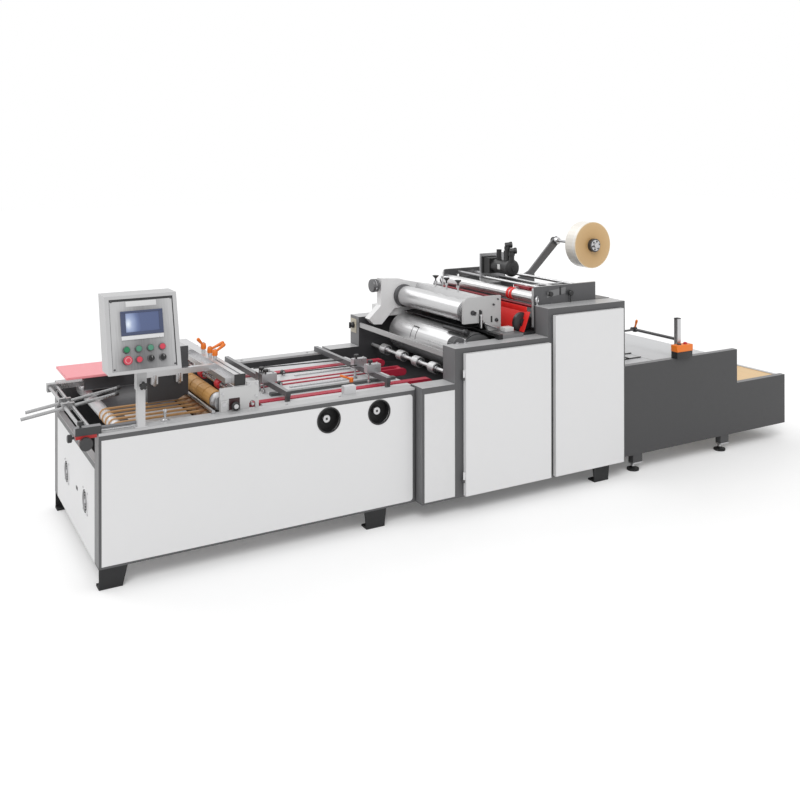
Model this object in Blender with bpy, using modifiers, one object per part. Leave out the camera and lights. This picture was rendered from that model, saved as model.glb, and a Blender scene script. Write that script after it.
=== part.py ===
"""Window patching machine for folding cartons, as one assembly of named pieces.

Units are metres, +Z is up and the origin is at the middle of the machine's floor area.
Cartons travel along +X, from the loading rods to the catch table. The operator stands at -Y.
"""
import math

import bmesh
import bpy
from mathutils import Matrix, Vector

# Clearances and working allowances
seat = 0.0003
overlap = 0.002
overcut = 0.020
running_gap = 0.005

# Stations along the machine
rod_overhang = 0.270
feed_length = 1.671
section_gap = 0.011
joining_length = 0.210
press_length = 0.652
tall_length = 0.598
delivery_length = 1.021
catch_length = 0.483
overall_length = (rod_overhang + feed_length + section_gap + joining_length + press_length
                  + tall_length + delivery_length + catch_length)
feed_start = rod_overhang - overall_length / 2
feed_end = feed_start + feed_length
joining_start = feed_end + section_gap
press_start = joining_start + joining_length
tall_start = press_start + press_length
tall_end = tall_start + tall_length
delivery_end = tall_end + delivery_length
catch_end = delivery_end + catch_length

# Heights and widths of the sections
feed_top = 0.714
feed_bottom = 0.093
feed_half_width = 0.577
feed_wall_depth = 0.080
end_wall_step = 0.154
end_wall_top = feed_top - end_wall_step
end_wall_depth = 0.030
joining_rise = 0.007
joining_top = feed_top + joining_rise
press_rise = 0.199
press_top = feed_top + press_rise
tall_rise = 0.166
tall_top = press_top + tall_rise
press_bottom = 0.090
press_half_width = 0.639
press_side_depth = 0.123
tall_side_depth = 0.135
delivery_step = 0.044
delivery_top = feed_top - delivery_step
catch_step = 0.226
catch_top = delivery_top - catch_step
delivery_bottom = 0.108
delivery_half_width = 0.627
delivery_side_depth = 0.040

# Inset panels, doors and their hinges
panel_thickness = 0.012
panel_border = 0.013
panel_sill = 0.010
panel_rail = 0.033
panel_corner = 0.018
joining_border = 0.014
joining_relief = 0.0015
door_thickness = 0.026
door_gap = 0.005
hinge_reach = 0.0055
hinge_radius = 0.005
hinge_pin_radius = 0.003
hinge_play = 0.0003
hinge_height = 0.040
hinge_inset = 0.090
hinge_lug = 0.016
hinge_bore = 0.032
hinge_pin_rise = 0.028
press_door_left = 0.053
press_door_right = 0.004
press_door_low = 0.100
press_door_drop = 0.029
tall_door_left = 0.031
tall_door_right = 0.037
tall_door_drop = 0.039

# Feet
foot_thickness = 0.008
foot_pad_depth = 0.060
foot_pad_height = 0.010
foot_top_width = 0.130
foot_base_width = 0.107
middle_foot_setback = 0.241
middle_foot_centre = feed_length - middle_foot_setback
press_foot_centre = 1.060
delivery_foot_setback = 0.120
levelling_radius = 0.038
levelling_height = 0.012
levelling_inset = 0.045
levelling_tab_drop = 0.058
stem_radius = 0.008

# Fan guards in the end panel
fan_radius = 0.0625
fan_rim = 0.008
fan_proud = 0.004
fan_drop = 0.246
fan_height = end_wall_top - fan_drop
fan_near = -0.280
fan_far = 0.201

# Rollers, belts and deck of the loading end
infeed_roller_place = 0.130
infeed_roller_drop = 0.042
infeed_roller_height = feed_top - infeed_roller_drop
infeed_roller_radius = 0.030
exit_roller_place = 0.560
roller_end_gap = 0.004
roller_shaft_radius = 0.012
belt_thickness = 0.003
belt_sink = 0.004
infeed_belt_width = 0.018
infeed_belt_first = -0.400
infeed_belt_pitch = 0.068
infeed_belt_count = 5
deck_drop = 0.012
deck_thickness = 0.004
deck_lip = 0.012
deck_gap = 0.010
stop_bar_place = 0.559
stop_bar_radius = 0.009
stop_bar_overhang = 0.024

# Timing roller and its bearings
timing_place = 0.614
timing_rise = 0.036
timing_radius = 0.042
timing_ring_count = 8
timing_ring_gap = 0.008
timing_ring_rise = 0.006
timing_near_inset = 0.020
timing_far_inset = 0.060
timing_bare_end = 0.080
bearing_width = 0.036

# Bridge over the feed, its two brackets and the carriage arms
bridge_place = 0.706
bridge_lift = 0.114
bridge_size = 0.058
bridge_slot = 0.010
bridge_near = -0.490
bridge_far = 0.520
bracket_left = 0.596
bracket_raised_left = 0.738
bracket_raise = 0.017
bracket_right = 0.800
bracket_thickness = 0.012
bracket_plane = 0.500
window_left = 0.643
window_right = 0.700
window_top = 0.060
keyhole_place = 0.7655
keyhole_width = 0.033
keyhole_rise = 0.020
lower_beam_width = 0.030
lower_beam_near = 0.050
lower_beam_height = 0.032
stud_radius = 0.011
stud_height = 0.040
stud_planes = (0.096, -0.018, -0.102)
wheel_shaft_place = 0.668
wheel_shaft_lift = 0.086
wheel_shaft_radius = 0.010
wheel_radius = 0.026
wheel_width = 0.052
wheel_planes = (-0.300, -0.020, 0.260)

# Side guides of the carton stack
guide_planes = (("front", -0.170), ("rear", 0.250))
guide_thickness = 0.006
guide_clearance = 0.006
guide_profiles = (((0.332, 0.0), (0.485, 0.0), (0.526, 0.020), (0.544, 0.020),
                   (0.544, 0.274), (0.332, 0.274)),
                  ((0.100, 0.0), (0.485, 0.0), (0.526, 0.020), (0.526, 0.274),
                   (0.345, 0.274), (0.315, 0.075), (0.100, 0.075)))
carriage_left = 0.300
carriage_width = 0.030
carriage_height = 0.030
carriage_rise = 0.020
upright_places = (0.361, 0.489)
upright_drop = 0.038
upright_width = 0.034

# Conveyor table, belts and the bars across it
table_start = 0.820
table_reach = 0.250
table_end = feed_length + table_reach
table_drop = 0.024
table_height = feed_top - table_drop
lane_height = 0.044
lane_near = -0.330
lane_far = 0.240
lane_width = 0.050
thin_lane_planes = (-0.050, 0.020)
thin_lane_width = 0.014
lane_roller_sink = 0.004
lane_gap = 0.006
table_near = -0.420
table_far = 0.420
bed_drop = 0.004
bed_end_setback = 0.130
table_rail_inset = 0.060
table_rail_setback = 0.300
table_rail_places = (table_start + table_rail_inset, table_end - table_rail_setback)
rail_depth = 0.060
rail_width = 0.030
crossbar_first = 1.000
crossbar_setback = 0.071
crossbar_last = feed_length - crossbar_setback
crossbar_width = 0.024
crossbar_height = 0.030
crossbar_near = -0.415
crossbar_far = 0.560
crossbar_leg_depth = 0.028
clamp_left = 0.058
clamp_right = 0.029
clamp_rise = 0.046
clamp_depth = 0.040
clamp_planes = ((-0.105, -0.165), (-0.080, -0.250))
side_rail_start = 0.965
side_rail_reach = 0.060
side_rail_end = feed_length + side_rail_reach
side_rail_plane = -0.245
side_rail_width = 0.032
side_rail_height = 0.016
pad_block_setback = 0.360
pad_block_place = feed_length - pad_block_setback
pad_block_width = 0.068
pad_block_height = 0.041
pad_block_depth = 0.036

# Crank spindles in the front wall
spindle_setback = 0.219
spindle_pitch = 0.296
spindle_second = feed_length - spindle_setback
spindle_first = spindle_second - spindle_pitch
spindle_drop = 0.102
spindle_height = feed_top - spindle_drop
cup_radius = 0.064
cup_depth = 0.050
hub_radius = 0.021
hub_length = 0.024
hub_edge = 0.002
spindle_pin_radius = 0.010
spindle_pin_length = 0.014

# Loading rods, the cross rods that carry them and the tray at the far side
rod_radius = 0.009
rod_lift = 0.021
long_rods = ((0.0, -0.100, -0.015, 0.464), (0.035, 0.0, -0.010, 0.460))
long_rod_rise = 0.068
rod_clamp_width = 0.024
cross_rod_radius = 0.008
cross_rod_places = (-0.065, -0.030)
rod_block_left = -0.100
rod_block_right = 0.015
rod_block_near = -0.570
rod_block_far = -0.530
rod_block_height = 0.036
rod_far_plane = 0.340
slotted_bar_near = 0.380
slotted_bar_far = 0.420
slotted_bar_end = 0.300
slotted_bar_rise = 0.024
slotted_bar_sink = 0.006
slotted_bar_arm = 0.210
clamp_drop = 0.016
wheel_disc_radius = 0.030
wheel_disc_place = -0.056
wheel_disc_drop = 0.036
wheel_disc_depth = 0.020
tray_end = 0.290
tray_near = 0.215
tray_far = 0.530
tray_lift = 0.083
tray_thickness = 0.006
tray_post_place = 0.150
tray_post_width = 0.025
tray_post_inset = 0.005

# Printing drum, gluing roller and what carries them
drum_place = 0.298
drum_rise = 0.120
drum_height = table_height + drum_rise
drum_radius = 0.122
drum_near_inset = 0.219
drum_far_inset = 0.214
drum_near = drum_near_inset - press_half_width
drum_far = press_half_width - drum_far_inset
journal_radius = 0.028
journal_depth = 0.030
glue_place = 0.298
glue_rise = 0.132
glue_height = press_top + glue_rise
glue_radius = 0.066
rail_place = 0.353
rail_span = 0.030
rail_lift = 0.017
rail_thickness = 0.012
rail_inset = 0.079
rail_near = rail_inset - press_half_width
bracket_left_edge = 0.218
bracket_right_edge = 0.484
bracket_foot_edge = 0.393
bracket_web_rise = 0.077
bracket_web_low = press_top + bracket_web_rise
bracket_web_depth = 0.152
bracket_web_high = bracket_web_low + bracket_web_depth
bracket_corner = 0.035
bracket_inset = 0.239
bracket_depth = 0.020
bracket_near = bracket_inset - press_half_width
bracket_far = bracket_near + bracket_depth
flange_inset = 0.094
flange_near = flange_inset - press_half_width
flange_right = 0.542
flange_thickness = 0.020
bracket_slot_place = 0.343
bracket_slot_width = 0.014
bracket_slot_inset = 0.010
arm_inset = 0.139
arm_depth = 0.060
arm_far = press_half_width - arm_inset
arm_near = arm_far - arm_depth
rear_arm_profile = ((0.036, -0.006), (0.071, -0.043), (0.130, -0.048), (0.228, 0.052),
                    (0.518, 0.052), (0.518, 0.187), (0.319, 0.228), (0.266, 0.244),
                    (0.126, 0.253), (0.126, 0.077))
arm_foot_left = 0.126
arm_foot_right = 0.500
arm_foot_inset = 0.069
arm_foot_depth = 0.110
arm_foot_far = press_half_width - arm_foot_inset
arm_foot_near = arm_foot_far - arm_foot_depth
arm_foot_height = 0.070
glue_tray_profile = ((0.375, 0.107), (0.478, 0.067), (0.488, 0.157), (0.400, 0.167))
glue_tray_lift = 0.040
screw_place = 0.438
screw_planes = (0.263, 0.131, -0.005)
screw_radius = 0.006
screw_foot = 0.127
screw_top = 0.235
guard_place = 0.108
guard_radius = 0.045
glue_near_gap = 0.050
glue_far_gap = 0.025
glue_shaft_play = 0.008
glue_shaft_entry = 0.020
glue_near = bracket_far + glue_near_gap
glue_far = arm_near - glue_far_gap
glue_shaft_near = bracket_near + glue_shaft_play
glue_shaft_far = arm_near + glue_shaft_entry
guard_inset = 0.119
guard_depth = 0.060
guard_near = guard_inset - press_half_width
guard_far = guard_near + guard_depth
guard_drop = 0.015
apron_setback = 0.104
apron_lean = 0.064
apron_low = 0.028
apron_high = 0.132
apron_thickness = 0.004

# Nip shaft at the entry of the press
nip_place = 0.103
nip_rise = 0.032
nip_height = table_height + nip_rise
nip_shaft_radius = 0.011
nip_wheel_radius = 0.032
nip_wheel_width = 0.060
nip_wheels = (-0.255, -0.065, 0.125, 0.340)
press_bar_inset = 0.004
press_bar_thickness = 0.012
press_bar_drop = 0.068
press_bar_height = 0.030

# Closed base between the press housings
base_bottom = 0.120
base_clearance = 0.014
base_reach = 0.070
tall_base_drop = 0.010
tall_base_top = delivery_top - tall_base_drop

# Film unit and reel
film_plate_thickness = 0.012
film_plate_rise = 0.111
film_plate_low = 0.129
film_plate_left = -0.008
film_plate_right = 0.481
film_plate_corner = 0.025
film_bars = ((0.022, 0.041, 0.035), (0.120, 0.086, 0.010), (0.260, 0.071, 0.016),
             (0.400, 0.086, 0.010))
film_hole_place = 0.117
film_hole_height = 0.062
film_hole_radius = 0.010
film_slot_place = 0.273
film_slot_height = 0.057
film_slot_width = 0.012
film_cover_inset = 0.020
carton_passage = 0.100
film_cover_low = tall_base_top + carton_passage
film_cover_margin = 0.006
film_cover_shoulder = tall_top - film_plate_low - film_cover_margin
film_cover_drop = 0.079
film_cover_top = tall_top - film_cover_drop
film_cover_side_gap = 0.004
spine_near = -0.300
spine_thickness = 0.020
spine_low = 0.031
mount_face = 0.192
mount_thickness = 0.012
mount_left = 0.095
mount_right = 0.300
mount_rise = 0.041
mount_height = 0.200
motor_place = 0.160
motor_rise = 0.167
motor_radius = 0.045
motor_length = 0.246
motor_flange_half = 0.055
motor_flange_thickness = 0.012
motor_gear_half = 0.050
motor_gear_length = 0.070
motor_plug_radius = 0.017
motor_plug_places = (0.200, 0.120)
motor_plug_height = 0.110
reel_reach = 0.188
reel_rise = 0.291
reel_height = tall_top + reel_rise
reel_radius = 0.156
reel_width = 0.100
reel_front = -0.135
reel_hub_radius = 0.042
reel_hub_length = 0.012
axle_radius = 0.010
axle_overhang = 0.030
arm_plane = 0.250
arm_thickness = 0.016
arm_root = 0.030
arm_half = 0.025
arm_width = 0.110
arm_heel_rise = 0.071
arm_tip = ((0.025, -0.020), (0.010, 0.030), (-0.020, 0.015))
arm_crook = (-0.020, 0.091)
arm_toe_rise = 0.051
beam_rise = 0.003
beam_sink = 0.013

# Delivery and catch table
delivery_bed_drop = 0.022
delivery_bed_height = 0.068
delivery_nose_setback = 0.180
catch_drop = 0.014
catch_thickness = 0.020
catch_wall_thickness = 0.030
guide_post_place = 0.508
guide_post_size = 0.030
guide_post_inset = 0.027
guide_post_near = guide_post_inset - delivery_half_width
guide_post_height = 0.245
guide_bar_lift = 0.110
guide_bar_radius = 0.010
guide_bar_far = -0.190
long_rod_reach = 0.450
long_rod_radius = 0.007
button_box_left = 0.018
button_box_right = 0.058
button_box_depth = 0.030
button_box_height = 0.085

# Operator panel
post_place = 0.195
post_plane = 0.558
post_size = 0.036
post_height = 0.176
post_pin_height = 0.070
post_pin_radius = 0.012
sleeve_overlap = 0.110
collar_grow = 0.005
knob_radius = 0.013
knob_reach = 0.030
box_width = 0.333
box_height = 0.357
box_depth = 0.140
box_run = 0.130
box_tilt = -15
box_rise = 0.429
box_centre = feed_top + box_rise
box_offset = 0.015
face_width = 0.295
face_height = 0.326
face_thickness = 0.003
face_recess = 0.006
screen_width = 0.194
screen_height = 0.127
screen_depth = 0.008
screen_rise = 0.042
button_radius = 0.012
button_depth = 0.012
stop_button_radius = 0.019
stop_button_depth = 0.022
button_pitch = 0.0545
button_rows = (-0.0695, -0.118)


def new_collection(name):
    made = bpy.data.collections.new(name)
    bpy.context.scene.collection.children.link(made)
    return made


for leftover in list(bpy.data.objects):
    bpy.data.objects.remove(leftover, do_unlink=True)
machine = new_collection("window_patching_machine")
tools = new_collection("cutters")


def finish(name, colour, roughness, metallic):
    """A plain material for a group of pieces."""
    made = bpy.data.materials.new(name)
    made.use_nodes = True
    shader = made.node_tree.nodes["Principled BSDF"]
    shader.inputs["Base Color"].default_value = (*colour, 1)
    shader.inputs["Roughness"].default_value = roughness
    shader.inputs["Metallic"].default_value = metallic
    made.diffuse_color = (*colour, 1)
    return made


white_paint = finish("white_paint", (0.73, 0.73, 0.73), 0.4, 0)
grey_paint = finish("grey_paint", (0.10, 0.10, 0.11), 0.45, 0.2)
light_paint = finish("light_paint", (0.55, 0.55, 0.55), 0.4, 0)
steel = finish("steel", (0.60, 0.60, 0.60), 0.3, 1)
aluminium = finish("aluminium", (0.70, 0.70, 0.70), 0.35, 1)
black_plastic = finish("black_plastic", (0.02, 0.02, 0.02), 0.4, 0)
red_belt = finish("red_belt", (0.58, 0.03, 0.07), 0.5, 0)
tan_belt = finish("tan_belt", (0.48, 0.22, 0.07), 0.6, 0)
pink_paint = finish("pink_paint", (0.93, 0.35, 0.40), 0.4, 0)
film_roll = finish("film_roll", (0.60, 0.36, 0.14), 0.3, 0)
wood = finish("wood", (0.80, 0.52, 0.27), 0.6, 0)
red_paint = finish("red_paint", (0.80, 0.02, 0.02), 0.45, 0)


def add_object(mesh):
    """A mesh as an object among the cutters, hidden from the render."""
    made = bpy.data.objects.new("solid", mesh)
    tools.objects.link(made)
    made.hide_render = True
    made.display_type = 'WIRE'
    return made


def block(low, high):
    """A box between two corners."""
    shape = bmesh.new()
    bmesh.ops.create_cube(shape, size=1)
    size = [high[i] - low[i] for i in range(3)]
    centre = [(high[i] + low[i]) / 2 for i in range(3)]
    bmesh.ops.scale(shape, vec=size, verts=shape.verts)
    bmesh.ops.translate(shape, vec=centre, verts=shape.verts)
    mesh = bpy.data.meshes.new("block")
    shape.to_mesh(mesh)
    shape.free()
    return add_object(mesh)


def bar(start, end, radius, sides=24, end_radius=None):
    """A round bar, or a cone, from one point to another."""
    start = Vector(start)
    end = Vector(end)
    shape = bmesh.new()
    bmesh.ops.create_cone(shape, cap_ends=True, segments=sides, radius1=radius,
                          radius2=radius if end_radius is None else end_radius,
                          depth=(end - start).length)
    turn = Vector((0, 0, 1)).rotation_difference(end - start).to_matrix().to_4x4()
    shape.transform(Matrix.Translation((start + end) / 2) @ turn)
    mesh = bpy.data.meshes.new("bar")
    shape.to_mesh(mesh)
    shape.free()
    return add_object(mesh)


def curve_mesh(curve, turn):
    """The solid of a curve, as a closed mesh."""
    holder = bpy.data.objects.new("outline", curve)
    bpy.context.scene.collection.objects.link(holder)
    holder.matrix_world = turn
    graph = bpy.context.evaluated_depsgraph_get()
    mesh = bpy.data.meshes.new_from_object(holder.evaluated_get(graph))
    mesh.transform(turn)
    bpy.data.objects.remove(holder, do_unlink=True)
    shape = bmesh.new()
    shape.from_mesh(mesh)
    bmesh.ops.remove_doubles(shape, verts=shape.verts, dist=0.00001)
    bmesh.ops.recalc_face_normals(shape, faces=shape.faces)
    shape.to_mesh(mesh)
    shape.free()
    return add_object(mesh)


def arc(centre, radius, first, last, steps=6):
    """Points along an arc, angles in degrees."""
    angles = [math.radians(first + (last - first) * i / steps) for i in range(steps + 1)]
    return [(centre[0] + radius * math.cos(a), centre[1] + radius * math.sin(a))
            for a in angles]


def plate(outline, normal, low, high, holes=()):
    """A flat outline with its holes, extruded along Y (points are x, z), X (y, z) or Z (x, y)."""
    curve = bpy.data.curves.new("outline", 'CURVE')
    curve.dimensions = '2D'
    curve.fill_mode = 'BOTH'
    curve.extrude = (high - low) / 2
    for loop in (outline, *holes):
        spline = curve.splines.new('POLY')
        spline.points.add(len(loop) - 1)
        for point, (u, v) in zip(spline.points, loop):
            point.co = (u, v, 0, 1)
        spline.use_cyclic_u = True
    middle = (low + high) / 2
    if normal == 'Y':
        turn = Matrix.Translation((0, middle, 0)) @ Matrix.Rotation(math.pi / 2, 4, 'X')
    elif normal == 'X':
        turn = Matrix(((0, 0, 1, middle), (1, 0, 0, 0), (0, 1, 0, 0), (0, 0, 0, 1)))
    else:
        turn = Matrix.Translation((0, 0, middle))
    return curve_mesh(curve, turn)


def wire(points, radius, sides=2):
    """A round rod through the points."""
    curve = bpy.data.curves.new("rod", 'CURVE')
    curve.dimensions = '3D'
    curve.bevel_depth = radius
    curve.bevel_resolution = sides
    curve.use_fill_caps = True
    spline = curve.splines.new('POLY')
    spline.points.add(len(points) - 1)
    for point, place in zip(spline.points, points):
        point.co = (*place, 1)
    return curve_mesh(curve, Matrix.Identity(4))


def turned(profile, start, sides=32):
    """A profile of (radius, distance) pairs turned about a line along +Y from start."""
    shape = bmesh.new()
    corners = [shape.verts.new((radius, 0, distance)) for radius, distance in profile]
    for one, two in zip(corners, corners[1:]):
        shape.edges.new((one, two))
    mesh = bpy.data.meshes.new("profile")
    shape.to_mesh(mesh)
    shape.free()
    holder = bpy.data.objects.new("profile", mesh)
    bpy.context.scene.collection.objects.link(holder)
    screw = holder.modifiers.new("turn", 'SCREW')
    screw.steps = sides
    screw.render_steps = sides
    screw.use_merge_vertices = True
    screw.merge_threshold = 0.0001
    graph = bpy.context.evaluated_depsgraph_get()
    made = bpy.data.meshes.new_from_object(holder.evaluated_get(graph))
    bpy.data.objects.remove(holder, do_unlink=True)
    made.transform(Matrix.Translation(start) @ Matrix.Rotation(-math.pi / 2, 4, 'X'))
    shape = bmesh.new()
    shape.from_mesh(made)
    bmesh.ops.remove_doubles(shape, verts=shape.verts, dist=0.00001)
    bmesh.ops.recalc_face_normals(shape, faces=shape.faces)
    shape.to_mesh(made)
    shape.free()
    return add_object(made)


def piece(name, material, solids, cuts=(), axis_point=None, edge=0, solver='EXACT'):
    """One named piece: the first solid, joined by the others and cut by the cutters."""
    made = solids[0]
    tools.objects.unlink(made)
    machine.objects.link(made)
    made.name = name
    made.data.name = name
    made.hide_render = False
    made.display_type = 'TEXTURED'
    made.data.materials.clear()
    made.data.materials.append(material)
    if edge:
        soft = made.modifiers.new("edge", 'BEVEL')
        soft.width = edge
        soft.segments = 2
        soft.limit_method = 'ANGLE'
    for operation, others in (('UNION', solids[1:]), ('DIFFERENCE', cuts)):
        for other in others:
            step = made.modifiers.new("join", 'BOOLEAN')
            step.operation = operation
            step.solver = solver
            step.object = other
    for face in made.data.polygons:
        face.use_smooth = True
    made.data.set_sharp_from_angle(angle=math.radians(35))
    if axis_point is not None:
        made.data.transform(Matrix.Translation(-Vector(axis_point)))
        made.location = axis_point
    return made


def feed_x(distance):
    """The place of something measured from the feed end."""
    return feed_start + distance


def press_x(distance):
    """The place of something measured from the start of the press."""
    return press_start + distance


def across(side, near, far):
    """Two distances from the middle plane, in order, on one side of the machine."""
    return min(side * near, side * far), max(side * near, side * far)


def side_foot(centre, top_width, base_width, top, outer, side, flush=0):
    """A flat bracket foot under a side wall, with a rib and a pad on the floor."""
    face = outer - side * overlap
    inner = face - side * foot_thickness
    shift = flush * (top_width - base_width) / 2
    top_left = centre - top_width / 2
    base_left = centre - base_width / 2 - shift
    base_right = base_left + base_width
    web = plate([(top_left, top + overlap), (base_left, overlap), (base_right, overlap),
                 (top_left + top_width, top + overlap)], 'Y', min(face, inner), max(face, inner))
    pad_outer = face + side * overlap / 2
    pad_inner = face - side * foot_pad_depth
    pad = block((base_left - overlap / 2, min(pad_outer, pad_inner), 0),
                (base_right + overlap / 2, max(pad_outer, pad_inner), foot_pad_height))
    rib_middle = (base_left + base_right) / 2
    rib_outer = face - side * foot_thickness / 2
    rib_inner = pad_inner + side * overlap
    rib = block((rib_middle - foot_thickness / 2, min(rib_outer, rib_inner), overlap),
                (rib_middle + foot_thickness / 2, max(rib_outer, rib_inner), top + overlap * 2))
    return [web, pad, rib]


def rounded_panel(left, right, low, high, radius):
    """An outline with square corners at the left and round ones at the right."""
    return ([(left, low)] + arc((right - radius, low + radius), radius, -90, 0, 4)
            + arc((right - radius, high - radius), radius, 0, 90, 4) + [(left, high)])


# Feed section: side walls with inset panels, feet and crank spindles
wall_inner = feed_half_width - feed_wall_depth
panel_low = feed_bottom + panel_sill
panel_high = feed_top - panel_rail
panel_start = feed_start + panel_border
panel_end = feed_end - panel_border
press_inner = press_half_width - press_side_depth
ledge_top = feed_top + seat
spindle_places = (feed_x(spindle_first), feed_x(spindle_second))
for side, word in ((-1, "front"), (1, "rear")):
    outer = side * feed_half_width
    inner = side * wall_inner
    wall = block((feed_start, min(outer, inner), feed_bottom),
                 (feed_end, max(outer, inner), feed_top))
    solids = [wall]
    solids += side_foot(feed_start + overlap + foot_top_width / 2, foot_top_width,
                        foot_base_width, feed_bottom, outer, side, 1)
    solids += side_foot(feed_x(middle_foot_centre), foot_top_width, foot_base_width,
                        feed_bottom, outer, side)
    pocket_floor = outer - side * panel_thickness
    pocket = plate(rounded_panel(panel_start, panel_end, panel_low, panel_high, panel_corner), 'Y',
                   min(outer + side * overcut, pocket_floor),
                   max(outer + side * overcut, pocket_floor))
    cuts = [pocket]
    holes = []
    if side < 0:
        for place in spindle_places:
            cuts.append(bar((place, outer - overcut, spindle_height),
                            (place, outer + cup_depth, spindle_height), cup_radius, 40))
            cuts.append(bar((place, outer, spindle_height),
                            (place, outer + cup_depth + spindle_pin_length, spindle_height),
                            spindle_pin_radius + hinge_play, 20))
            holes.append(bar((place, outer - overcut, spindle_height),
                             (place, outer + overcut, spindle_height), cup_radius, 40))
        pad_block = block((feed_x(pad_block_place) - pad_block_width / 2,
                           -wall_inner - pad_block_depth / 2, feed_top - overlap),
                          (feed_x(pad_block_place) + pad_block_width / 2,
                           -wall_inner + pad_block_depth / 2, feed_top + pad_block_height))
        solids.append(pad_block)
    for place in (infeed_roller_place, exit_roller_place):
        cuts.append(bar((feed_x(place), inner - side * overcut, infeed_roller_height),
                        (feed_x(place), inner + side * journal_depth, infeed_roller_height),
                        roller_shaft_radius + seat, 20))
    piece("feed_" + word + "_wall", grey_paint, solids, cuts)
    panel = plate(rounded_panel(panel_start + seat, panel_end - seat, panel_low + seat,
                                panel_high - seat, panel_corner), 'Y',
                  min(outer, pocket_floor + side * seat), max(outer, pocket_floor + side * seat))
    piece("feed_" + word + "_panel", white_paint, [panel], holes)

for number, place in enumerate(spindle_places, 1):
    floor = -feed_half_width + cup_depth
    spindle_reach = spindle_pin_length + hub_length - seat
    profile = [(0, spindle_reach), (spindle_pin_radius, spindle_reach),
               (spindle_pin_radius, hub_length), (hub_radius, hub_length),
               (hub_radius, hub_edge), (hub_radius - hub_edge, 0), (0, 0)]
    hub = turned(profile, (place, floor - hub_length - seat, spindle_height), 24)
    piece("crank_spindle_" + str(number), steel, [hub], [], (place, floor, spindle_height))

# Feed end: a low wall with an inset panel and two fan guards, open above to the rollers
end_panel_high = end_wall_top - panel_rail
end_panel_half = wall_inner - panel_border
end_wall = block((feed_start, -wall_inner + seat, feed_bottom),
                 (feed_start + end_wall_depth, wall_inner - seat, end_wall_top))
end_pocket = block((feed_start - overcut, -end_panel_half, panel_low),
                   (feed_start + panel_thickness, end_panel_half, end_panel_high))
piece("feed_end_wall", grey_paint, [end_wall], [end_pocket])
end_panel = block((feed_start, -end_panel_half + seat, panel_low + seat),
                  (feed_start + panel_thickness - seat, end_panel_half - seat,
                   end_panel_high - seat))
guards = []
guard_cuts = []
for plane in (fan_near, fan_far):
    guards.append(bar((feed_start - fan_proud, plane, fan_height),
                      (feed_start + overlap, plane, fan_height), fan_radius, 24))
    guard_cuts.append(bar((feed_start - overcut, plane, fan_height),
                          (feed_start + fan_proud, plane, fan_height),
                          fan_radius - fan_rim, 24))
piece("feed_end_panel", white_paint, [end_panel] + guards, guard_cuts)

# Loading rollers with their flat belts, the deck between them and the stop bar
roller_face = wall_inner - roller_end_gap
shaft_face = wall_inner + journal_depth - seat * 2
infeed_solids = []
for place in (infeed_roller_place, exit_roller_place):
    infeed_solids.append(bar((feed_x(place), -roller_face, infeed_roller_height),
                             (feed_x(place), roller_face, infeed_roller_height),
                             infeed_roller_radius, 20))
    infeed_solids.append(bar((feed_x(place), -shaft_face, infeed_roller_height),
                             (feed_x(place), shaft_face, infeed_roller_height),
                             roller_shaft_radius, 12))
belt_radius = infeed_roller_radius + belt_thickness
belt_ends = ((feed_x(infeed_roller_place), 90, 270), (feed_x(exit_roller_place), -90, 90))
belt_outer = []
belt_inner = []
for centre, first, last in belt_ends:
    belt_outer += arc((centre, infeed_roller_height), belt_radius, first, last, 6)
    belt_inner += arc((centre, infeed_roller_height), infeed_roller_radius - belt_sink,
                      first, last, 6)
rings = []
for number in range(infeed_belt_count):
    low = infeed_belt_first + number * infeed_belt_pitch
    rings.append(plate(belt_outer, 'Y', low, low + infeed_belt_width, [belt_inner]))
piece("infeed_belts", tan_belt, infeed_solids[:1] + rings + infeed_solids[1:],
      solver='MANIFOLD')

deck_start = feed_x(infeed_roller_place) + belt_radius + deck_gap
deck_end = feed_x(exit_roller_place) - belt_radius - deck_gap
deck_height = infeed_roller_height - deck_drop
deck = block((deck_start, -wall_inner + seat, deck_height - deck_thickness),
             (deck_end, wall_inner - seat, deck_height))
apron = block((deck_start, -wall_inner + seat, deck_height - deck_lip),
              (deck_start + deck_thickness, wall_inner - seat, deck_height - overlap))
piece("infeed_deck", white_paint, [deck, apron])

stop_height = ledge_top + stop_bar_radius
stop_reach = wall_inner + stop_bar_overhang
stop_bar = bar((feed_x(stop_bar_place), -stop_reach, stop_height),
               (feed_x(stop_bar_place), stop_reach, stop_height), stop_bar_radius, 16)
piece("infeed_stop_bar", steel, [stop_bar])

# Timing roller, the shaft of red wheels and the brackets that carry them and the bridge
timing_x = feed_x(timing_place)
timing_height = feed_top + timing_rise
bearing_radius = roller_shaft_radius + seat
bearing_reach = bracket_plane + bearing_width / 2
timing_near = -bracket_plane + timing_near_inset
timing_far = bracket_plane - timing_far_inset
timing = [bar((timing_x, timing_near, timing_height), (timing_x, timing_far, timing_height),
              timing_radius - timing_ring_rise, 16),
          bar((timing_x, -bracket_plane - timing_near_inset, timing_height),
              (timing_x, bracket_plane + timing_near_inset, timing_height),
              roller_shaft_radius, 12)]
ring_span = (timing_far - timing_near - timing_bare_end) / timing_ring_count
for number in range(timing_ring_count):
    low = timing_near + timing_bare_end + number * ring_span
    timing.append(bar((timing_x, low, timing_height),
                      (timing_x, low + ring_span - timing_ring_gap, timing_height),
                      timing_radius, 16))
piece("timing_roller", tan_belt, timing, [], (timing_x, 0, timing_height))

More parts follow.
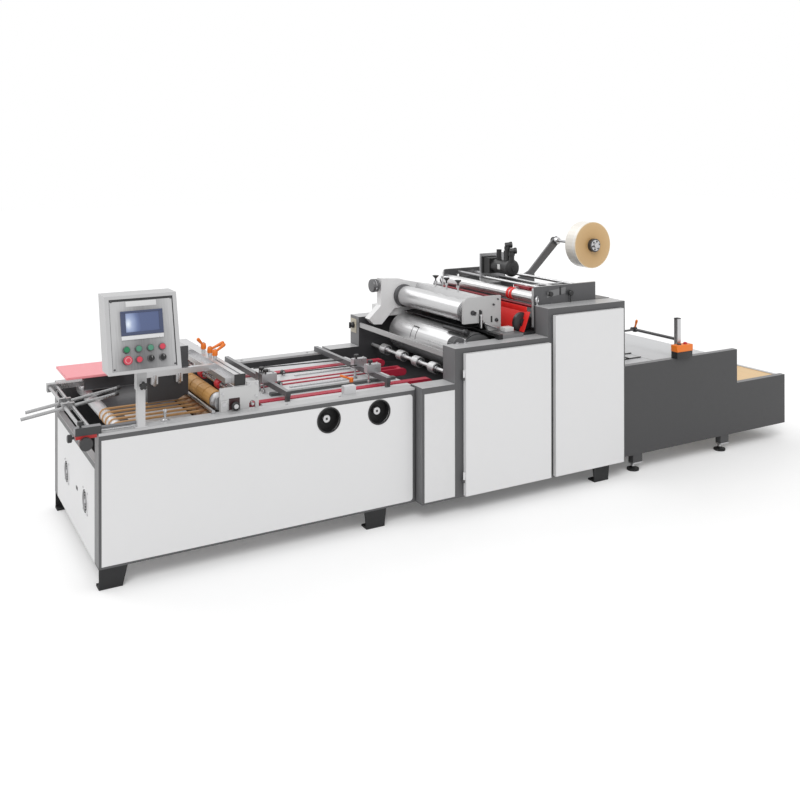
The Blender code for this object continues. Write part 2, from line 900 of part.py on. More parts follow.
bridge_low = feed_top + bridge_lift
bridge_x = feed_x(bridge_place)
wheel_height = feed_top + wheel_shaft_lift
wheel_x = feed_x(wheel_shaft_place)
bracket_outer = bracket_plane + bracket_thickness / 2
bracket_inner = bracket_plane - bracket_thickness / 2
for side, word in ((-1, "front"), (1, "rear")):
    low_y, high_y = across(side, bracket_inner, bracket_outer)
    beam_seat = bridge_low - seat
    raised_top = bridge_low + bracket_raise
    outline = [(feed_x(bracket_left), ledge_top), (feed_x(bracket_right), ledge_top),
               (feed_x(bracket_right), raised_top), (feed_x(bracket_raised_left), raised_top),
               (feed_x(bracket_raised_left), beam_seat), (feed_x(bracket_left), beam_seat)]
    upright = plate(outline, 'Y', low_y, high_y)
    window = block((feed_x(window_left), low_y - overcut, feed_top - overcut),
                   (feed_x(window_right), high_y + overcut, feed_top + window_top))
    keyhole_x = feed_x(keyhole_place)
    keyhole_top = feed_top + keyhole_rise
    keyhole = plate([(keyhole_x - keyhole_width / 2, feed_top - overcut),
                     (keyhole_x + keyhole_width / 2, feed_top - overcut)]
                    + arc((keyhole_x, keyhole_top), keyhole_width / 2, 0, 180, 8), 'Y',
                    low_y - overcut, high_y + overcut)
    bearing_y = across(side, bracket_inner + overlap, bearing_reach)
    bearing = block((timing_x - bearing_width / 2 + overlap / 2, bearing_y[0], ledge_top),
                    (timing_x + bearing_width / 2, bearing_y[1],
                     timing_height + bearing_width / 2))
    bore = bar((timing_x, side * (bearing_reach - bearing_width), timing_height),
               (timing_x, side * (bearing_reach + overcut), timing_height), bearing_radius, 16)
    wheel_bore = bar((wheel_x, side * (bracket_inner - overcut), wheel_height),
                     (wheel_x, side * bracket_plane, wheel_height),
                     wheel_shaft_radius + seat, 16)
    piece("bridge_bracket_" + word, light_paint, [upright, bearing],
          [window, keyhole, bore, wheel_bore])

wheel_shaft_end = bracket_plane - seat * 2
wheels = [bar((wheel_x, -wheel_shaft_end, wheel_height),
              (wheel_x, wheel_shaft_end, wheel_height), wheel_shaft_radius, 16)]
for plane in wheel_planes:
    wheels.append(bar((wheel_x, plane - wheel_width / 2, wheel_height),
                      (wheel_x, plane + wheel_width / 2, wheel_height), wheel_radius, 16))
piece("wheel_shaft", red_belt, wheels)

beam_left = bridge_x - bridge_size / 2
beam_right = bridge_x + bridge_size / 2
beam_top = bridge_low + bridge_size
beam = block((beam_left, bridge_near, bridge_low), (beam_right, bridge_far, beam_top))
carriage_low = bridge_low + carriage_rise
carriage_high = carriage_low + carriage_height
lower_beam = block((beam_left - lower_beam_width, bridge_near + lower_beam_near,
                    bridge_low + bridge_slot / 2),
                   (beam_left + overlap, bridge_far - timing_bare_end,
                    bridge_low + lower_beam_height))
bridge_parts = [beam, lower_beam]
for word, plane in guide_planes:
    bridge_parts.append(block((feed_x(carriage_left), plane - carriage_width / 2, carriage_low),
                              (beam_left + overlap, plane + carriage_width / 2, carriage_high)))
for place in upright_places:
    bridge_parts.append(block((feed_x(place) - upright_width / 2,
                               guide_planes[0][1] - carriage_width / 2 + overlap,
                               carriage_low - upright_drop),
                              (feed_x(place) + upright_width / 2,
                               guide_planes[0][1] + carriage_width / 2 - overlap,
                               carriage_low + overlap)))
for plane in stud_planes:
    bridge_parts.append(bar((bridge_x, plane, beam_top - overlap),
                            (bridge_x, plane, beam_top + stud_height), stud_radius, 12))
slots = [block((bridge_x - bridge_slot / 2, bridge_near - overcut, beam_top - bridge_slot),
               (bridge_x + bridge_slot / 2, stud_planes[-1] - bridge_slot, beam_top + overcut)),
         block((beam_right - bridge_slot, bridge_near - overcut,
                (bridge_low + beam_top - bridge_slot) / 2),
               (beam_right + overcut, bridge_far + overcut,
                (bridge_low + beam_top + bridge_slot) / 2))]
piece("feed_bridge", aluminium, bridge_parts, slots)

# Side guides of the carton stack, hung from the carriage beams
guide_low = infeed_roller_height + belt_radius + guide_clearance
for (word, plane), profile in zip(guide_planes, guide_profiles):
    face = plane + carriage_width / 2 + seat
    outline = [(feed_x(place), guide_low + rise) for place, rise in profile]
    guide = plate(outline, 'Y', face, face + guide_thickness)
    piece("stack_guide_" + word, grey_paint, [guide])

# Conveyor table between the feed walls, its belts and their beds
lane_low = table_height - lane_height
rail_z = lane_low - seat
lane_radius = lane_height / 2
lane_left = feed_x(table_start) + lane_radius
lane_right = feed_x(table_end) - lane_radius
lane_middle_height = table_height - lane_radius
lane_ends = (arc((lane_left, lane_middle_height), lane_radius, 90, 270, 8)
             + arc((lane_right, lane_middle_height), lane_radius, -90, 90, 8))
for word, centre in (("front", lane_near), ("rear", lane_far)):
    lane = plate(lane_ends, 'Y', centre - lane_width / 2, centre + lane_width / 2)
    piece("belt_lane_" + word, red_belt, [lane])
thin_first = thin_lane_planes[0] - thin_lane_width / 2
thin_last = thin_lane_planes[1] + thin_lane_width / 2
thin_lanes = [plate(lane_ends, 'Y', plane - thin_lane_width / 2, plane + thin_lane_width / 2)
              for plane in thin_lane_planes]
for end in (lane_left, lane_right):
    thin_lanes.append(bar((end, thin_first + overlap, lane_middle_height),
                          (end, thin_last - overlap, lane_middle_height),
                          lane_radius - lane_roller_sink, 16))
piece("belt_lane_middle", red_belt, thin_lanes)

lane_edges = [(lane_near - lane_width / 2, lane_near + lane_width / 2),
              (thin_first, thin_first + thin_lane_width),
              (thin_last - thin_lane_width, thin_last),
              (lane_far - lane_width / 2, lane_far + lane_width / 2)]
edges = [table_near]
for low, high in lane_edges:
    edges += [low - lane_gap, high + lane_gap]
edges.append(table_far)
bed_start = feed_x(table_start) + lane_height
bed_end = feed_x(table_end) - lane_height - bed_end_setback
beds = [block((bed_start, edges[i], rail_z - overlap),
              (bed_end, edges[i + 1], table_height - bed_drop))
        for i in range(0, len(edges), 2)]
table_rails = [block((feed_x(place), -wall_inner + seat, rail_z - rail_width),
                     (feed_x(place) + rail_depth, wall_inner - seat, rail_z))
               for place in table_rail_places]
piece("conveyor_table", light_paint, table_rails[:1] + beds + table_rails[1:])

# Bars across the conveyor: each lies on the far wall, stands on the bed at its near end and
# carries two clamps
crossbar_top = ledge_top + crossbar_height
bed_seat = table_height - bed_drop + seat
bar_places = (feed_x(crossbar_first), feed_x(crossbar_last))
for number, (bar_x, planes) in enumerate(zip(bar_places, clamp_planes), 1):
    half_bar = crossbar_width / 2
    bar_parts = [block((bar_x - half_bar, crossbar_near, ledge_top),
                       (bar_x + half_bar, crossbar_far, crossbar_top)),
                 block((bar_x - half_bar + overlap, crossbar_near + overlap, bed_seat),
                       (bar_x + half_bar - overlap, crossbar_near + crossbar_leg_depth,
                        ledge_top + overlap))]
    for plane in planes:
        bar_parts.append(block((bar_x - clamp_left, plane - clamp_depth / 2,
                                crossbar_top - overlap),
                               (bar_x + clamp_right, plane + clamp_depth / 2,
                                crossbar_top + clamp_rise)))
    piece("cross_bar_" + str(number), grey_paint, bar_parts)

# Flat guide rail along the belts, bolted to the bed
side_rail_near = side_rail_plane - side_rail_width / 2
side_rail = block((feed_x(side_rail_start), side_rail_near, bed_seat),
                  (feed_x(side_rail_end), side_rail_near + side_rail_width,
                   bed_seat + side_rail_height))
piece("belt_side_rail", grey_paint, [side_rail])

# Loading rods, the cross rods that carry them and the tray at the far side
rod_height = feed_top + rod_lift
block_top = feed_top + rod_block_height
block_middle = (rod_block_near + rod_block_far) / 2
post_x = feed_x(post_place)
near_block = block((feed_x(rod_block_left), rod_block_near, ledge_top),
                   (feed_x(rod_block_right), rod_block_far, block_top))
loading = [near_block]
for place in cross_rod_places:
    loading.append(wire([(feed_x(place), rod_block_far - overlap, rod_height),
                         (feed_x(place), rod_far_plane + overlap, rod_height)], cross_rod_radius))
slotted_high = ledge_top + slotted_bar_rise
slotted_low = ledge_top - slotted_bar_sink
loading.append(block((feed_x(cross_rod_places[0]) - rod_clamp_width / 2, rod_far_plane, slotted_low),
                     (feed_x(cross_rod_places[1]) + rod_clamp_width / 2,
                      slotted_bar_near + overlap, block_top)))
slotted_bar = block((feed_x(cross_rod_places[0]), slotted_bar_near, slotted_low + overlap),
                    (feed_x(slotted_bar_end), slotted_bar_far, slotted_high))
loading.append(slotted_bar)
slotted_arm = block((feed_x(slotted_bar_arm), slotted_bar_far - overlap,
                     slotted_low + overlap * 2),
                    (feed_x(slotted_bar_arm) + rail_depth, wall_inner - seat,
                     slotted_high - overlap))
loading.append(slotted_arm)
rod_angle = math.atan2(long_rod_rise, long_rods[0][3])
rod_tip = rod_radius * math.sin(rod_angle)
for start_place, plane, clamp_shift, length in long_rods:
    start_x = feed_x(start_place - rod_overhang) + rod_tip
    rod_low = feed_top + clamp_shift
    loading.append(wire([(start_x, plane, rod_low), (start_x + length, plane, rod_low + long_rod_rise)],
                        rod_radius))
for start_place, plane, clamp_shift, length in long_rods:
    loading.append(block((feed_x(cross_rod_places[0]) - rod_clamp_width / 2,
                          plane - rod_clamp_width / 2, rod_height - rod_radius * 2),
                         (feed_x(cross_rod_places[1]) + rod_clamp_width / 2,
                          plane + rod_clamp_width / 2, rod_height + rod_radius * 2)))
loading.append(wire([(feed_x(rod_block_right) - overlap, block_middle + lane_gap, rod_height),
                     (post_x - post_size / 2 - seat, block_middle + lane_gap, rod_height)],
                    cross_rod_radius))
clamp_bottom = ledge_top - clamp_drop
end_clamp = block((feed_x(rod_block_left) + overlap, rod_block_near + overlap, clamp_bottom),
                  (feed_start - running_gap, rod_block_far - overlap, ledge_top + overlap))
loading.append(end_clamp)
disc_x = feed_x(wheel_disc_place)
disc_height = ledge_top - wheel_disc_drop
loading.append(bar((disc_x, rod_block_near - wheel_disc_depth, disc_height),
                   (disc_x, rod_block_near + overlap * 2, disc_height), wheel_disc_radius, 24))
piece("loading_rods", steel, loading)

tray_low = infeed_roller_height + tray_lift + tray_lift / 2
tray_post_far = wall_inner + tray_post_inset + tray_post_width
tray = block((feed_start, tray_near, tray_low), (feed_x(tray_end), tray_far, tray_low + tray_thickness))
tray_post = block((feed_x(tray_post_place) - tray_post_width / 2,
                   wall_inner + tray_post_inset, ledge_top),
                  (feed_x(tray_post_place) + tray_post_width / 2, tray_post_far,
                   tray_low + overlap))
piece("side_tray", pink_paint, [tray, tray_post])

# Press section: stepped side housings, doors and the closed base between them
tall_inner_half = press_half_width - tall_side_depth
drum_x = press_x(drum_place)
nip_x = press_x(nip_place)
press_door_high = press_top - press_door_drop
tall_door_high = tall_top - tall_door_drop
for side, word in ((-1, "front"), (1, "rear")):
    outer = side * press_half_width
    inner = side * press_inner
    stepped = plate([(joining_start, press_bottom), (tall_end, press_bottom), (tall_end, tall_top),
                     (tall_start, tall_top), (tall_start, press_top), (press_start, press_top),
                     (press_start, joining_top), (joining_start, joining_top)],
                    'Y', min(outer, inner), max(outer, inner))
    tall_inner = side * tall_inner_half
    thick = block((tall_start, min(inner + side * overlap, tall_inner), press_bottom + overlap),
                  (tall_end, max(inner + side * overlap, tall_inner), tall_top))
    solids = [stepped, thick]
    solids += side_foot(press_x(press_foot_centre), foot_top_width, foot_base_width,
                        press_bottom, outer, side)
    cuts = []
    for place, height, radius in ((drum_x, drum_height, journal_radius),
                                  (nip_x, nip_height, nip_shaft_radius)):
        cuts.append(bar((place, inner - side * overcut, height),
                        (place, inner + side * journal_depth, height), radius + seat, 24))
    groove = across(side, press_half_width - joining_relief, press_half_width + overcut)
    cuts.append(block((joining_start + joining_border, groove[0], press_bottom + panel_sill),
                      (press_start, groove[1], joining_top - panel_rail)))
    leaf_inner = outer + side * door_gap
    leaf_outer = leaf_inner + side * door_thickness
    middle = (leaf_inner + leaf_outer) / 2
    if side < 0:
        solids.append(bar((press_x(guard_place), guard_near, press_top - guard_drop),
                          (press_x(guard_place), guard_far, press_top - guard_drop),
                          guard_radius, 32))
    for left, right, high, hinge_right, name in (
            (press_x(press_door_left), tall_start - press_door_right, press_door_high, False, "press"),
            (tall_start + tall_door_left, tall_end - tall_door_right, tall_door_high, True, "tall")):
        if side > 0:
            cover = block((left, outer + seat, press_door_low), (right, leaf_outer, high))
            piece(name + "_rear_cover", white_paint, [cover])
            continue
        leaf = block((left, leaf_outer, press_door_low), (right, leaf_inner, high))
        edge_x = right if hinge_right else left
        outward = 1 if hinge_right else -1
        pin_x = edge_x + outward * hinge_reach
        web_x = edge_x - outward * overlap
        leaf_solids = [leaf]
        leaf_cuts = []
        for low in (press_door_low + hinge_inset, high - hinge_inset - hinge_height):
            leaf_solids.append(bar((pin_x, middle, low), (pin_x, middle, low + hinge_height),
                                   hinge_radius, 16))
            leaf_solids.append(block((min(pin_x, web_x), middle - hinge_radius / 2, low),
                                     (max(pin_x, web_x), middle + hinge_radius / 2,
                                      low + hinge_height)))
            leaf_cuts.append(bar((pin_x, middle, low - overcut), (pin_x, middle, low + hinge_bore),
                                 hinge_pin_radius + hinge_play, 16))
            lug_top = low - seat
            lug_low = low - hinge_lug
            solids.append(block((pin_x - hinge_radius, middle, lug_low),
                                (pin_x + hinge_radius, outer + overlap, lug_top)))
            solids.append(bar((pin_x, middle, lug_low), (pin_x, middle, lug_top),
                              hinge_radius, 16))
            solids.append(bar((pin_x, middle, lug_low + overlap),
                              (pin_x, middle, low + hinge_pin_rise), hinge_pin_radius, 16))
        piece(name + "_door", white_paint, leaf_solids, leaf_cuts,
              (pin_x, middle, press_door_low))
    piece("press_" + word + "_housing", grey_paint, solids, cuts)

base_top = table_height - lane_height - rail_width - base_clearance
feed_base = block((feed_end - base_reach, -wall_inner + seat, base_bottom),
                  (joining_start + overcut, wall_inner - seat, base_top))
press_body = block((joining_start, -press_inner + seat, base_bottom),
                   (tall_start - seat, press_inner - seat, base_top - overlap))
tall_base = block((tall_start - overcut, -tall_inner_half + seat, base_bottom),
                  (tall_end, tall_inner_half - seat, tall_base_top))
piece("press_base", grey_paint, [press_body, feed_base, tall_base])

# Rollers of the press
journal_end = press_inner + journal_depth - seat * 2
drum = [bar((drum_x, drum_near, drum_height), (drum_x, drum_far, drum_height), drum_radius, 48),
        bar((drum_x, -journal_end, drum_height), (drum_x, journal_end, drum_height),
            journal_radius, 24)]
piece("plate_drum", steel, drum, [], (drum_x, 0, drum_height))

nip = [bar((nip_x, -journal_end, nip_height), (nip_x, journal_end, nip_height),
           nip_shaft_radius, 16)]
for centre in nip_wheels:
    nip.append(bar((nip_x, centre - nip_wheel_width / 2, nip_height),
                   (nip_x, centre + nip_wheel_width / 2, nip_height), nip_wheel_radius, 20))
piece("nip_shaft", steel, nip, [], (nip_x, 0, nip_height))

glue_x = press_x(glue_place)
glue = [bar((glue_x, glue_near, glue_height), (glue_x, glue_far, glue_height), glue_radius, 40),
        bar((glue_x, glue_shaft_near, glue_height), (glue_x, glue_shaft_far, glue_height),
            roller_shaft_radius, 16)]
piece("glue_roller", steel, glue, [], (glue_x, 0, glue_height))

rail_seat = press_top + seat
web_left = press_x(bracket_left_edge)
web_right = press_x(bracket_right_edge)
foot_left = press_x(bracket_foot_edge)
flange_top = rail_seat + flange_thickness
front_plate = plate([(web_left, bracket_web_low), (foot_left - overcut, bracket_web_low - overlap),
                     (foot_left, flange_top - overlap), (web_right, flange_top - overlap),
                     (web_right, bracket_web_high - overlap)]
                    + arc((web_left + bracket_corner, bracket_web_high - bracket_corner),
                          bracket_corner, 90, 180), 'Y', bracket_near, bracket_far)
front_flange = block((foot_left, flange_near, rail_seat),
                     (press_x(flange_right), bracket_far - overlap, flange_top))
front_bore = bar((glue_x, bracket_near - overcut, glue_height),
                 (glue_x, bracket_far + overcut, glue_height), bearing_radius, 16)
slot_x = press_x(bracket_slot_place)
bracket_slot = block((slot_x - bracket_slot_width / 2, bracket_near - overcut,
                      bracket_web_low + bracket_slot_inset),
                     (slot_x + bracket_slot_width / 2, bracket_far + overcut,
                      glue_height + bracket_slot_width))
piece("roller_bracket_front", light_paint, [front_plate, front_flange],
      [front_bore, bracket_slot])

arm_points = [(press_x(place), press_top + rise) for place, rise in rear_arm_profile]
rear_arm = plate(arm_points, 'Y', arm_near, arm_far)
rear_foot = block((press_x(arm_foot_left), arm_foot_near, rail_seat),
                  (press_x(arm_foot_right), arm_foot_far, rail_seat + arm_foot_height))
rear_bore = bar((glue_x, arm_near - overcut, glue_height),
                (glue_x, glue_shaft_far + running_gap * 2, glue_height), bearing_radius, 16)
piece("roller_bracket_rear", light_paint, [rear_arm, rear_foot], [rear_bore])

rail_x = press_x(rail_place)
rail_low = rail_seat + rail_lift
cross_rail = block((rail_x, rail_near, rail_low),
                   (rail_x + rail_span, arm_foot_near - seat, rail_low + rail_thickness))
rail_foot = block((rail_x, rail_near, rail_seat),
                  (rail_x + rail_span, -press_inner - roller_end_gap, rail_low + overlap))
piece("roller_cross_rail", grey_paint, [cross_rail, rail_foot])

tray_points = [(press_x(place), press_top + rise + glue_tray_lift)
               for place, rise in glue_tray_profile]
tray_body = plate(tray_points, 'Y', bracket_far + seat, arm_near - seat)
tray_parts = [tray_body]
for plane in screw_planes:
    tray_parts.append(bar((press_x(screw_place), plane, press_top + screw_foot),
                          (press_x(screw_place), plane, press_top + screw_top),
                          screw_radius, 12))
piece("glue_tray", steel, tray_parts)

press_bar_low = press_top - press_bar_drop
press_bar = block((press_x(press_bar_inset), -press_inner + seat, press_bar_low),
                  (press_x(press_bar_inset + press_bar_thickness), press_inner - seat,
                   press_bar_low + press_bar_height))
piece("press_cross_bar", light_paint, [press_bar])

# Bright red apron that leads the film down between the press housings
apron_x = tall_start - apron_setback
film_apron = plate([(apron_x, press_top - apron_low),
                    (apron_x + apron_thickness, press_top - apron_low),
                    (apron_x + apron_thickness + apron_lean, press_top + apron_high),
                    (apron_x + apron_lean, press_top + apron_high)],
                   'Y', -press_inner + seat, press_inner - seat)
piece("film_apron", red_paint, [film_apron])

# Film unit between the tall housings
film_inner = tall_inner_half - film_plate_thickness - seat * 2
plate_left = tall_start + film_plate_left
plate_right = tall_start + film_plate_right
film_plate_top = tall_top + film_plate_rise
for side, word in ((-1, "front"), (1, "rear")):
    low_y, high_y = across(side, tall_inner_half - seat - film_plate_thickness,
                           tall_inner_half - seat)
    outline = ([(plate_left, tall_top - film_plate_low), (plate_right, tall_top - film_plate_low),
                (plate_right, film_plate_top)]
               + arc((plate_left + film_plate_corner, film_plate_top - film_plate_corner),
                     film_plate_corner, 90, 180))
    body = plate(outline, 'Y', low_y, high_y)
    hole = bar((tall_start + film_hole_place, low_y - overcut, tall_top + film_hole_height),
               (tall_start + film_hole_place, high_y + overcut, tall_top + film_hole_height),
               film_hole_radius, 16)
    slot = block((tall_start + film_slot_place - film_slot_width / 2, low_y - overcut,
                  tall_top + film_slot_height - film_slot_width),
                 (tall_start + film_slot_place + film_slot_width / 2, high_y + overcut,
                  tall_top + film_slot_height + film_slot_width))
    piece("film_plate_" + word, grey_paint, [body], [hole, slot])

bars = [bar((tall_start + place, -film_inner, tall_top + rise),
            (tall_start + place, film_inner, tall_top + rise), radius, 16)
        for place, rise, radius in film_bars]
spine = block((tall_start + film_bars[0][0], spine_near, tall_top + spine_low),
              (tall_start + film_bars[-1][0], spine_near + spine_thickness,
               tall_top + film_bars[-1][1]))
cover_left = tall_start + film_cover_inset
cover_right = tall_end - film_cover_inset
cover_half = film_inner - film_cover_side_gap
film_cover = [block((cover_left, -tall_inner_half + seat, film_cover_low),
                    (cover_right, tall_inner_half - seat, film_cover_shoulder)),
              block((cover_left + overlap, -cover_half, film_cover_low + overlap),
                    (cover_right - overlap, cover_half, film_cover_top))]
piece("film_cover", grey_paint, film_cover)

mount_low = tall_top + mount_rise
motor_mount = block((tall_start + mount_left, mount_face + seat, mount_low),
                    (tall_start + mount_right, mount_face + mount_thickness,
                     mount_low + mount_height))
piece("film_rollers", steel, [spine] + bars + [motor_mount])

motor_x = tall_start + motor_place
motor_height = tall_top + motor_rise
flange_face = mount_face - motor_flange_thickness
motor_flange = block((motor_x - motor_flange_half, flange_face, motor_height - motor_flange_half),
                     (motor_x + motor_flange_half, mount_face, motor_height + motor_flange_half))
motor_gear = block((motor_x - motor_gear_half, flange_face - motor_gear_length,
                    motor_height - motor_gear_half),
                   (motor_x + motor_gear_half, flange_face + overlap,
                    motor_height + motor_gear_half))
motor_body = bar((motor_x, mount_face - motor_length, motor_height),
                 (motor_x, mount_face - motor_flange_thickness / 2, motor_height),
                 motor_radius, 24)
motor_parts = [motor_flange, motor_gear, motor_body]
for reach in motor_plug_places:
    motor_parts.append(bar((motor_x, mount_face - reach, motor_height),
                           (motor_x, mount_face - reach, motor_height + motor_plug_height),
                           motor_plug_radius, 16))
piece("film_motor", black_plastic, motor_parts)

# Reel arm on its beam between the tall housings, and the reel of window film
reel_x = tall_end + reel_reach
arm_base_x = tall_end - arm_root
arm_low = tall_top + overlap
arm_base_left = arm_base_x - arm_width
arm = plate([(arm_base_left, arm_low), (arm_base_x + arm_half, arm_low),
             (arm_base_x + arm_half, tall_top + arm_heel_rise)]
            + [(reel_x + place, reel_height + rise) for place, rise in arm_tip]
            + [(arm_base_x + arm_crook[0], tall_top + arm_crook[1]),
               (arm_base_left, tall_top + arm_toe_rise)],
            'Y', arm_plane, arm_plane + arm_thickness)
arm_beam = block((plate_right + running_gap, -tall_inner_half + seat, tall_top - beam_sink),
                 (arm_base_x + arm_half + overlap, tall_inner_half - seat, tall_top + beam_rise))
axle = bar((reel_x, reel_front - axle_overhang, reel_height),
           (reel_x, arm_plane + arm_thickness + axle_overhang, reel_height), axle_radius, 20)
piece("reel_arm", grey_paint, [arm, arm_beam, axle])

reel_bore = axle_radius + seat
reel_profile = [(reel_bore, reel_width), (reel_radius, reel_width), (reel_radius, 0),
                (reel_hub_radius, 0), (reel_hub_radius, -reel_hub_length),
                (reel_bore, -reel_hub_length), (reel_bore, reel_width)]
reel = turned(reel_profile, (reel_x, reel_front, reel_height), 40)
piece("film_reel", film_roll, [reel], [], (reel_x, 0, reel_height))

# Delivery: long sides with a step, belt bed and catch table
side_inner = delivery_half_width - delivery_side_depth
for side, word in ((-1, "front"), (1, "rear")):
    low_y, high_y = across(side, side_inner, delivery_half_width)
    body = plate([(tall_end + seat, delivery_bottom), (catch_end, delivery_bottom),
                  (catch_end, catch_top), (delivery_end, catch_top),
                  (delivery_end, delivery_top), (tall_end + seat, delivery_top)],
                 'Y', low_y, high_y)
    solids = [body]
    for place in (tall_end + delivery_foot_setback, delivery_end - delivery_foot_setback):
        y = side * (delivery_half_width - levelling_inset)
        tab_y = across(side, delivery_half_width - levelling_inset, delivery_half_width - overlap)
        tab_low = delivery_bottom - levelling_tab_drop
        solids.append(block((place - levelling_radius, tab_y[0], tab_low),
                            (place + levelling_radius, tab_y[1], delivery_bottom + overlap)))
        solids.append(bar((place, y, levelling_height / 2), (place, y, tab_low + foot_pad_height),
                          stem_radius, 12))
        solids.append(bar((place, y, 0), (place, y, levelling_height), levelling_radius, 24))
    piece("delivery_" + word + "_side", grey_paint, solids)

bed_top = delivery_top - delivery_bed_drop
bed_low = bed_top - delivery_bed_height
nose_x = delivery_end - delivery_nose_setback
bed = block((tall_end + seat, -side_inner + seat, bed_low), (nose_x, side_inner - seat, bed_top))
nose = bar((nose_x, -side_inner + seat, (bed_low + bed_top) / 2),
           (nose_x, side_inner - seat, (bed_low + bed_top) / 2), delivery_bed_height / 2, 24)
piece("delivery_belt", light_paint, [bed, nose])
catch_high = catch_top - catch_drop
catch_low = catch_high - catch_thickness
catch = block((nose_x, -side_inner + seat, catch_low), (catch_end, side_inner - seat, catch_high))
piece("catch_table", wood, [catch])
end_plate = block((catch_end - catch_wall_thickness, -side_inner + seat, delivery_bottom),
                  (catch_end, side_inner - seat, catch_low - seat))
piece("delivery_end_wall", grey_paint, [end_plate])

# Guide post of the delivery, its cross bar and push-button box
guide_x = tall_end + guide_post_place
guide_far = guide_post_near + guide_post_size
guide_bar_height = delivery_top + guide_bar_lift
guide_base = delivery_top + seat
post = block((guide_x - guide_post_size / 2, guide_post_near, guide_base),
             (guide_x + guide_post_size / 2, guide_far, delivery_top + guide_post_height))
guide_bar = bar((guide_x, guide_far - overlap * 2, guide_bar_height),
                (guide_x, guide_bar_far, guide_bar_height), guide_bar_radius, 16)
long_rod = bar((guide_x + guide_bar_radius, guide_bar_far - guide_bar_radius, guide_bar_height),
               (guide_x - long_rod_reach, guide_bar_far - guide_bar_radius, guide_bar_height),
               long_rod_radius, 12)
button_box = block((guide_x - button_box_left, guide_post_near - button_box_depth, guide_base),
                   (guide_x + button_box_right, guide_post_near + overlap,
                    delivery_top + button_box_height))
piece("delivery_guide", aluminium, [post, guide_bar, long_rod, button_box])

# Operator panel on its post
post_y = -post_plane
half = post_size / 2
post_top = feed_top + post_height
column = block((post_x - half, post_y - half, ledge_top), (post_x + half, post_y + half, post_top))
swivel_pin = bar((post_x, post_y, post_top - overlap),
                 (post_x, post_y, post_top + post_pin_height), post_pin_radius, 20)
piece("panel_post", light_paint, [column, swivel_pin])

sleeve_low = post_top + seat
cabinet_turn = (Matrix.Translation((post_x, post_y + box_offset, box_centre))
                @ Matrix.Rotation(math.radians(box_tilt), 4, 'X'))
front_low = cabinet_turn @ Vector((0, -box_depth / 2, -box_height / 2))
front_high = cabinet_turn @ Vector((0, -box_depth / 2, box_height / 2))
cabinet = plate([(front_low.y, front_low.z), (front_low.y + box_run, front_low.z),
                 (front_high.y + box_run, front_high.z), (front_high.y, front_high.z)],
                'X', post_x - box_width / 2, post_x + box_width / 2)
recess_plane = face_recess - box_depth / 2
recess = block((-face_width / 2, -box_depth / 2 - overcut, -face_height / 2),
               (face_width / 2, recess_plane, face_height / 2))
recess.data.transform(cabinet_turn)
sleeve = block((post_x - half - collar_grow, post_y - half - collar_grow, sleeve_low),
               (post_x + half + collar_grow, post_y + half + collar_grow,
                sleeve_low + sleeve_overlap))
sleeve_bore = bar((post_x, post_y, sleeve_low - overcut),
                  (post_x, post_y, post_top + post_pin_height + seat),
                  post_pin_radius + seat, 20)
knob = bar((post_x, post_y - half, sleeve_low + knob_radius * 2),
           (post_x, post_y - half - knob_reach, sleeve_low + knob_radius * 2), knob_radius, 12)
piece("operator_panel", light_paint, [cabinet, sleeve, knob], [sleeve_bore, recess],
      (post_x, post_y, box_centre))

# Stainless face of the operator panel, with its screen frame and push buttons
face_out = seat - recess_plane
face = block((seat - face_width / 2, -face_out - face_thickness, seat - face_height / 2),
             (face_width / 2 - seat, -face_out, face_height / 2 - seat))
screen = block((-screen_width / 2, -face_out - screen_depth, screen_rise - screen_height / 2),
               (screen_width / 2, -face_out - overlap, screen_rise + screen_height / 2))
controls = []
for row, height in enumerate(button_rows):
    for column_number in range(4):
        large = row == 1 and column_number == 0
        radius = stop_button_radius if large else button_radius
        depth = stop_button_depth if large else button_depth
        place = (column_number - 1.5) * button_pitch
        controls.append(bar((place, -face_out - face_thickness - depth, height),
                            (place, -face_out - overlap, height), radius, 12))
face_parts = [face, screen] + controls
for solid in face_parts:
    solid.data.transform(cabinet_turn)
piece("panel_face", steel, face_parts, [], (post_x, post_y, box_centre))
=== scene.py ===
"""Window patching machine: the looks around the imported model, piece by piece.

Metres, +Z up. Cartons travel along +X and the operator stands at -Y.
"""
import math

import bpy
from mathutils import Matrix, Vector


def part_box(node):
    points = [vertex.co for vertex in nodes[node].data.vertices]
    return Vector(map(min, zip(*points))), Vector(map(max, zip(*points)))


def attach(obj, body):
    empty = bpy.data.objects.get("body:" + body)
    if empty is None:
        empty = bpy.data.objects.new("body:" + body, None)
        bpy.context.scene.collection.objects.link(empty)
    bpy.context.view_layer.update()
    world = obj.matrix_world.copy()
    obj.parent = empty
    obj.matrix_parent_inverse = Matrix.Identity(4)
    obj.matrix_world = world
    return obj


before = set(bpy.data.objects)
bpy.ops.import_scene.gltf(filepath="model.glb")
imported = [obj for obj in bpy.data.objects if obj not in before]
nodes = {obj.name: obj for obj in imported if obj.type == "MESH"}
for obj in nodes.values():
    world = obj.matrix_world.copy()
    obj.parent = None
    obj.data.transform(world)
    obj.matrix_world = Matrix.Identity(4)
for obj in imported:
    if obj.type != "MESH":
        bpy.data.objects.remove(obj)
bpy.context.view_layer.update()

# Camera: where the photograph was taken from, in front of the loading end at eye height.
# It looks level, and the shift brings the machine into the middle of the frame.
bpy.ops.object.select_all(action='DESELECT')
bpy.ops.object.camera_add(location=(-3.083, -4.915, 1.987),
                          rotation=(math.radians(90), math.radians(0.08), math.radians(-29.72)))
camera = bpy.context.object
camera.data.sensor_width = 36
camera.data.lens = 41.66
camera.data.shift_y = -0.3076
camera.data.clip_end = 100
bpy.context.scene.camera = camera
bpy.context.scene.view_settings.view_transform = 'Standard'


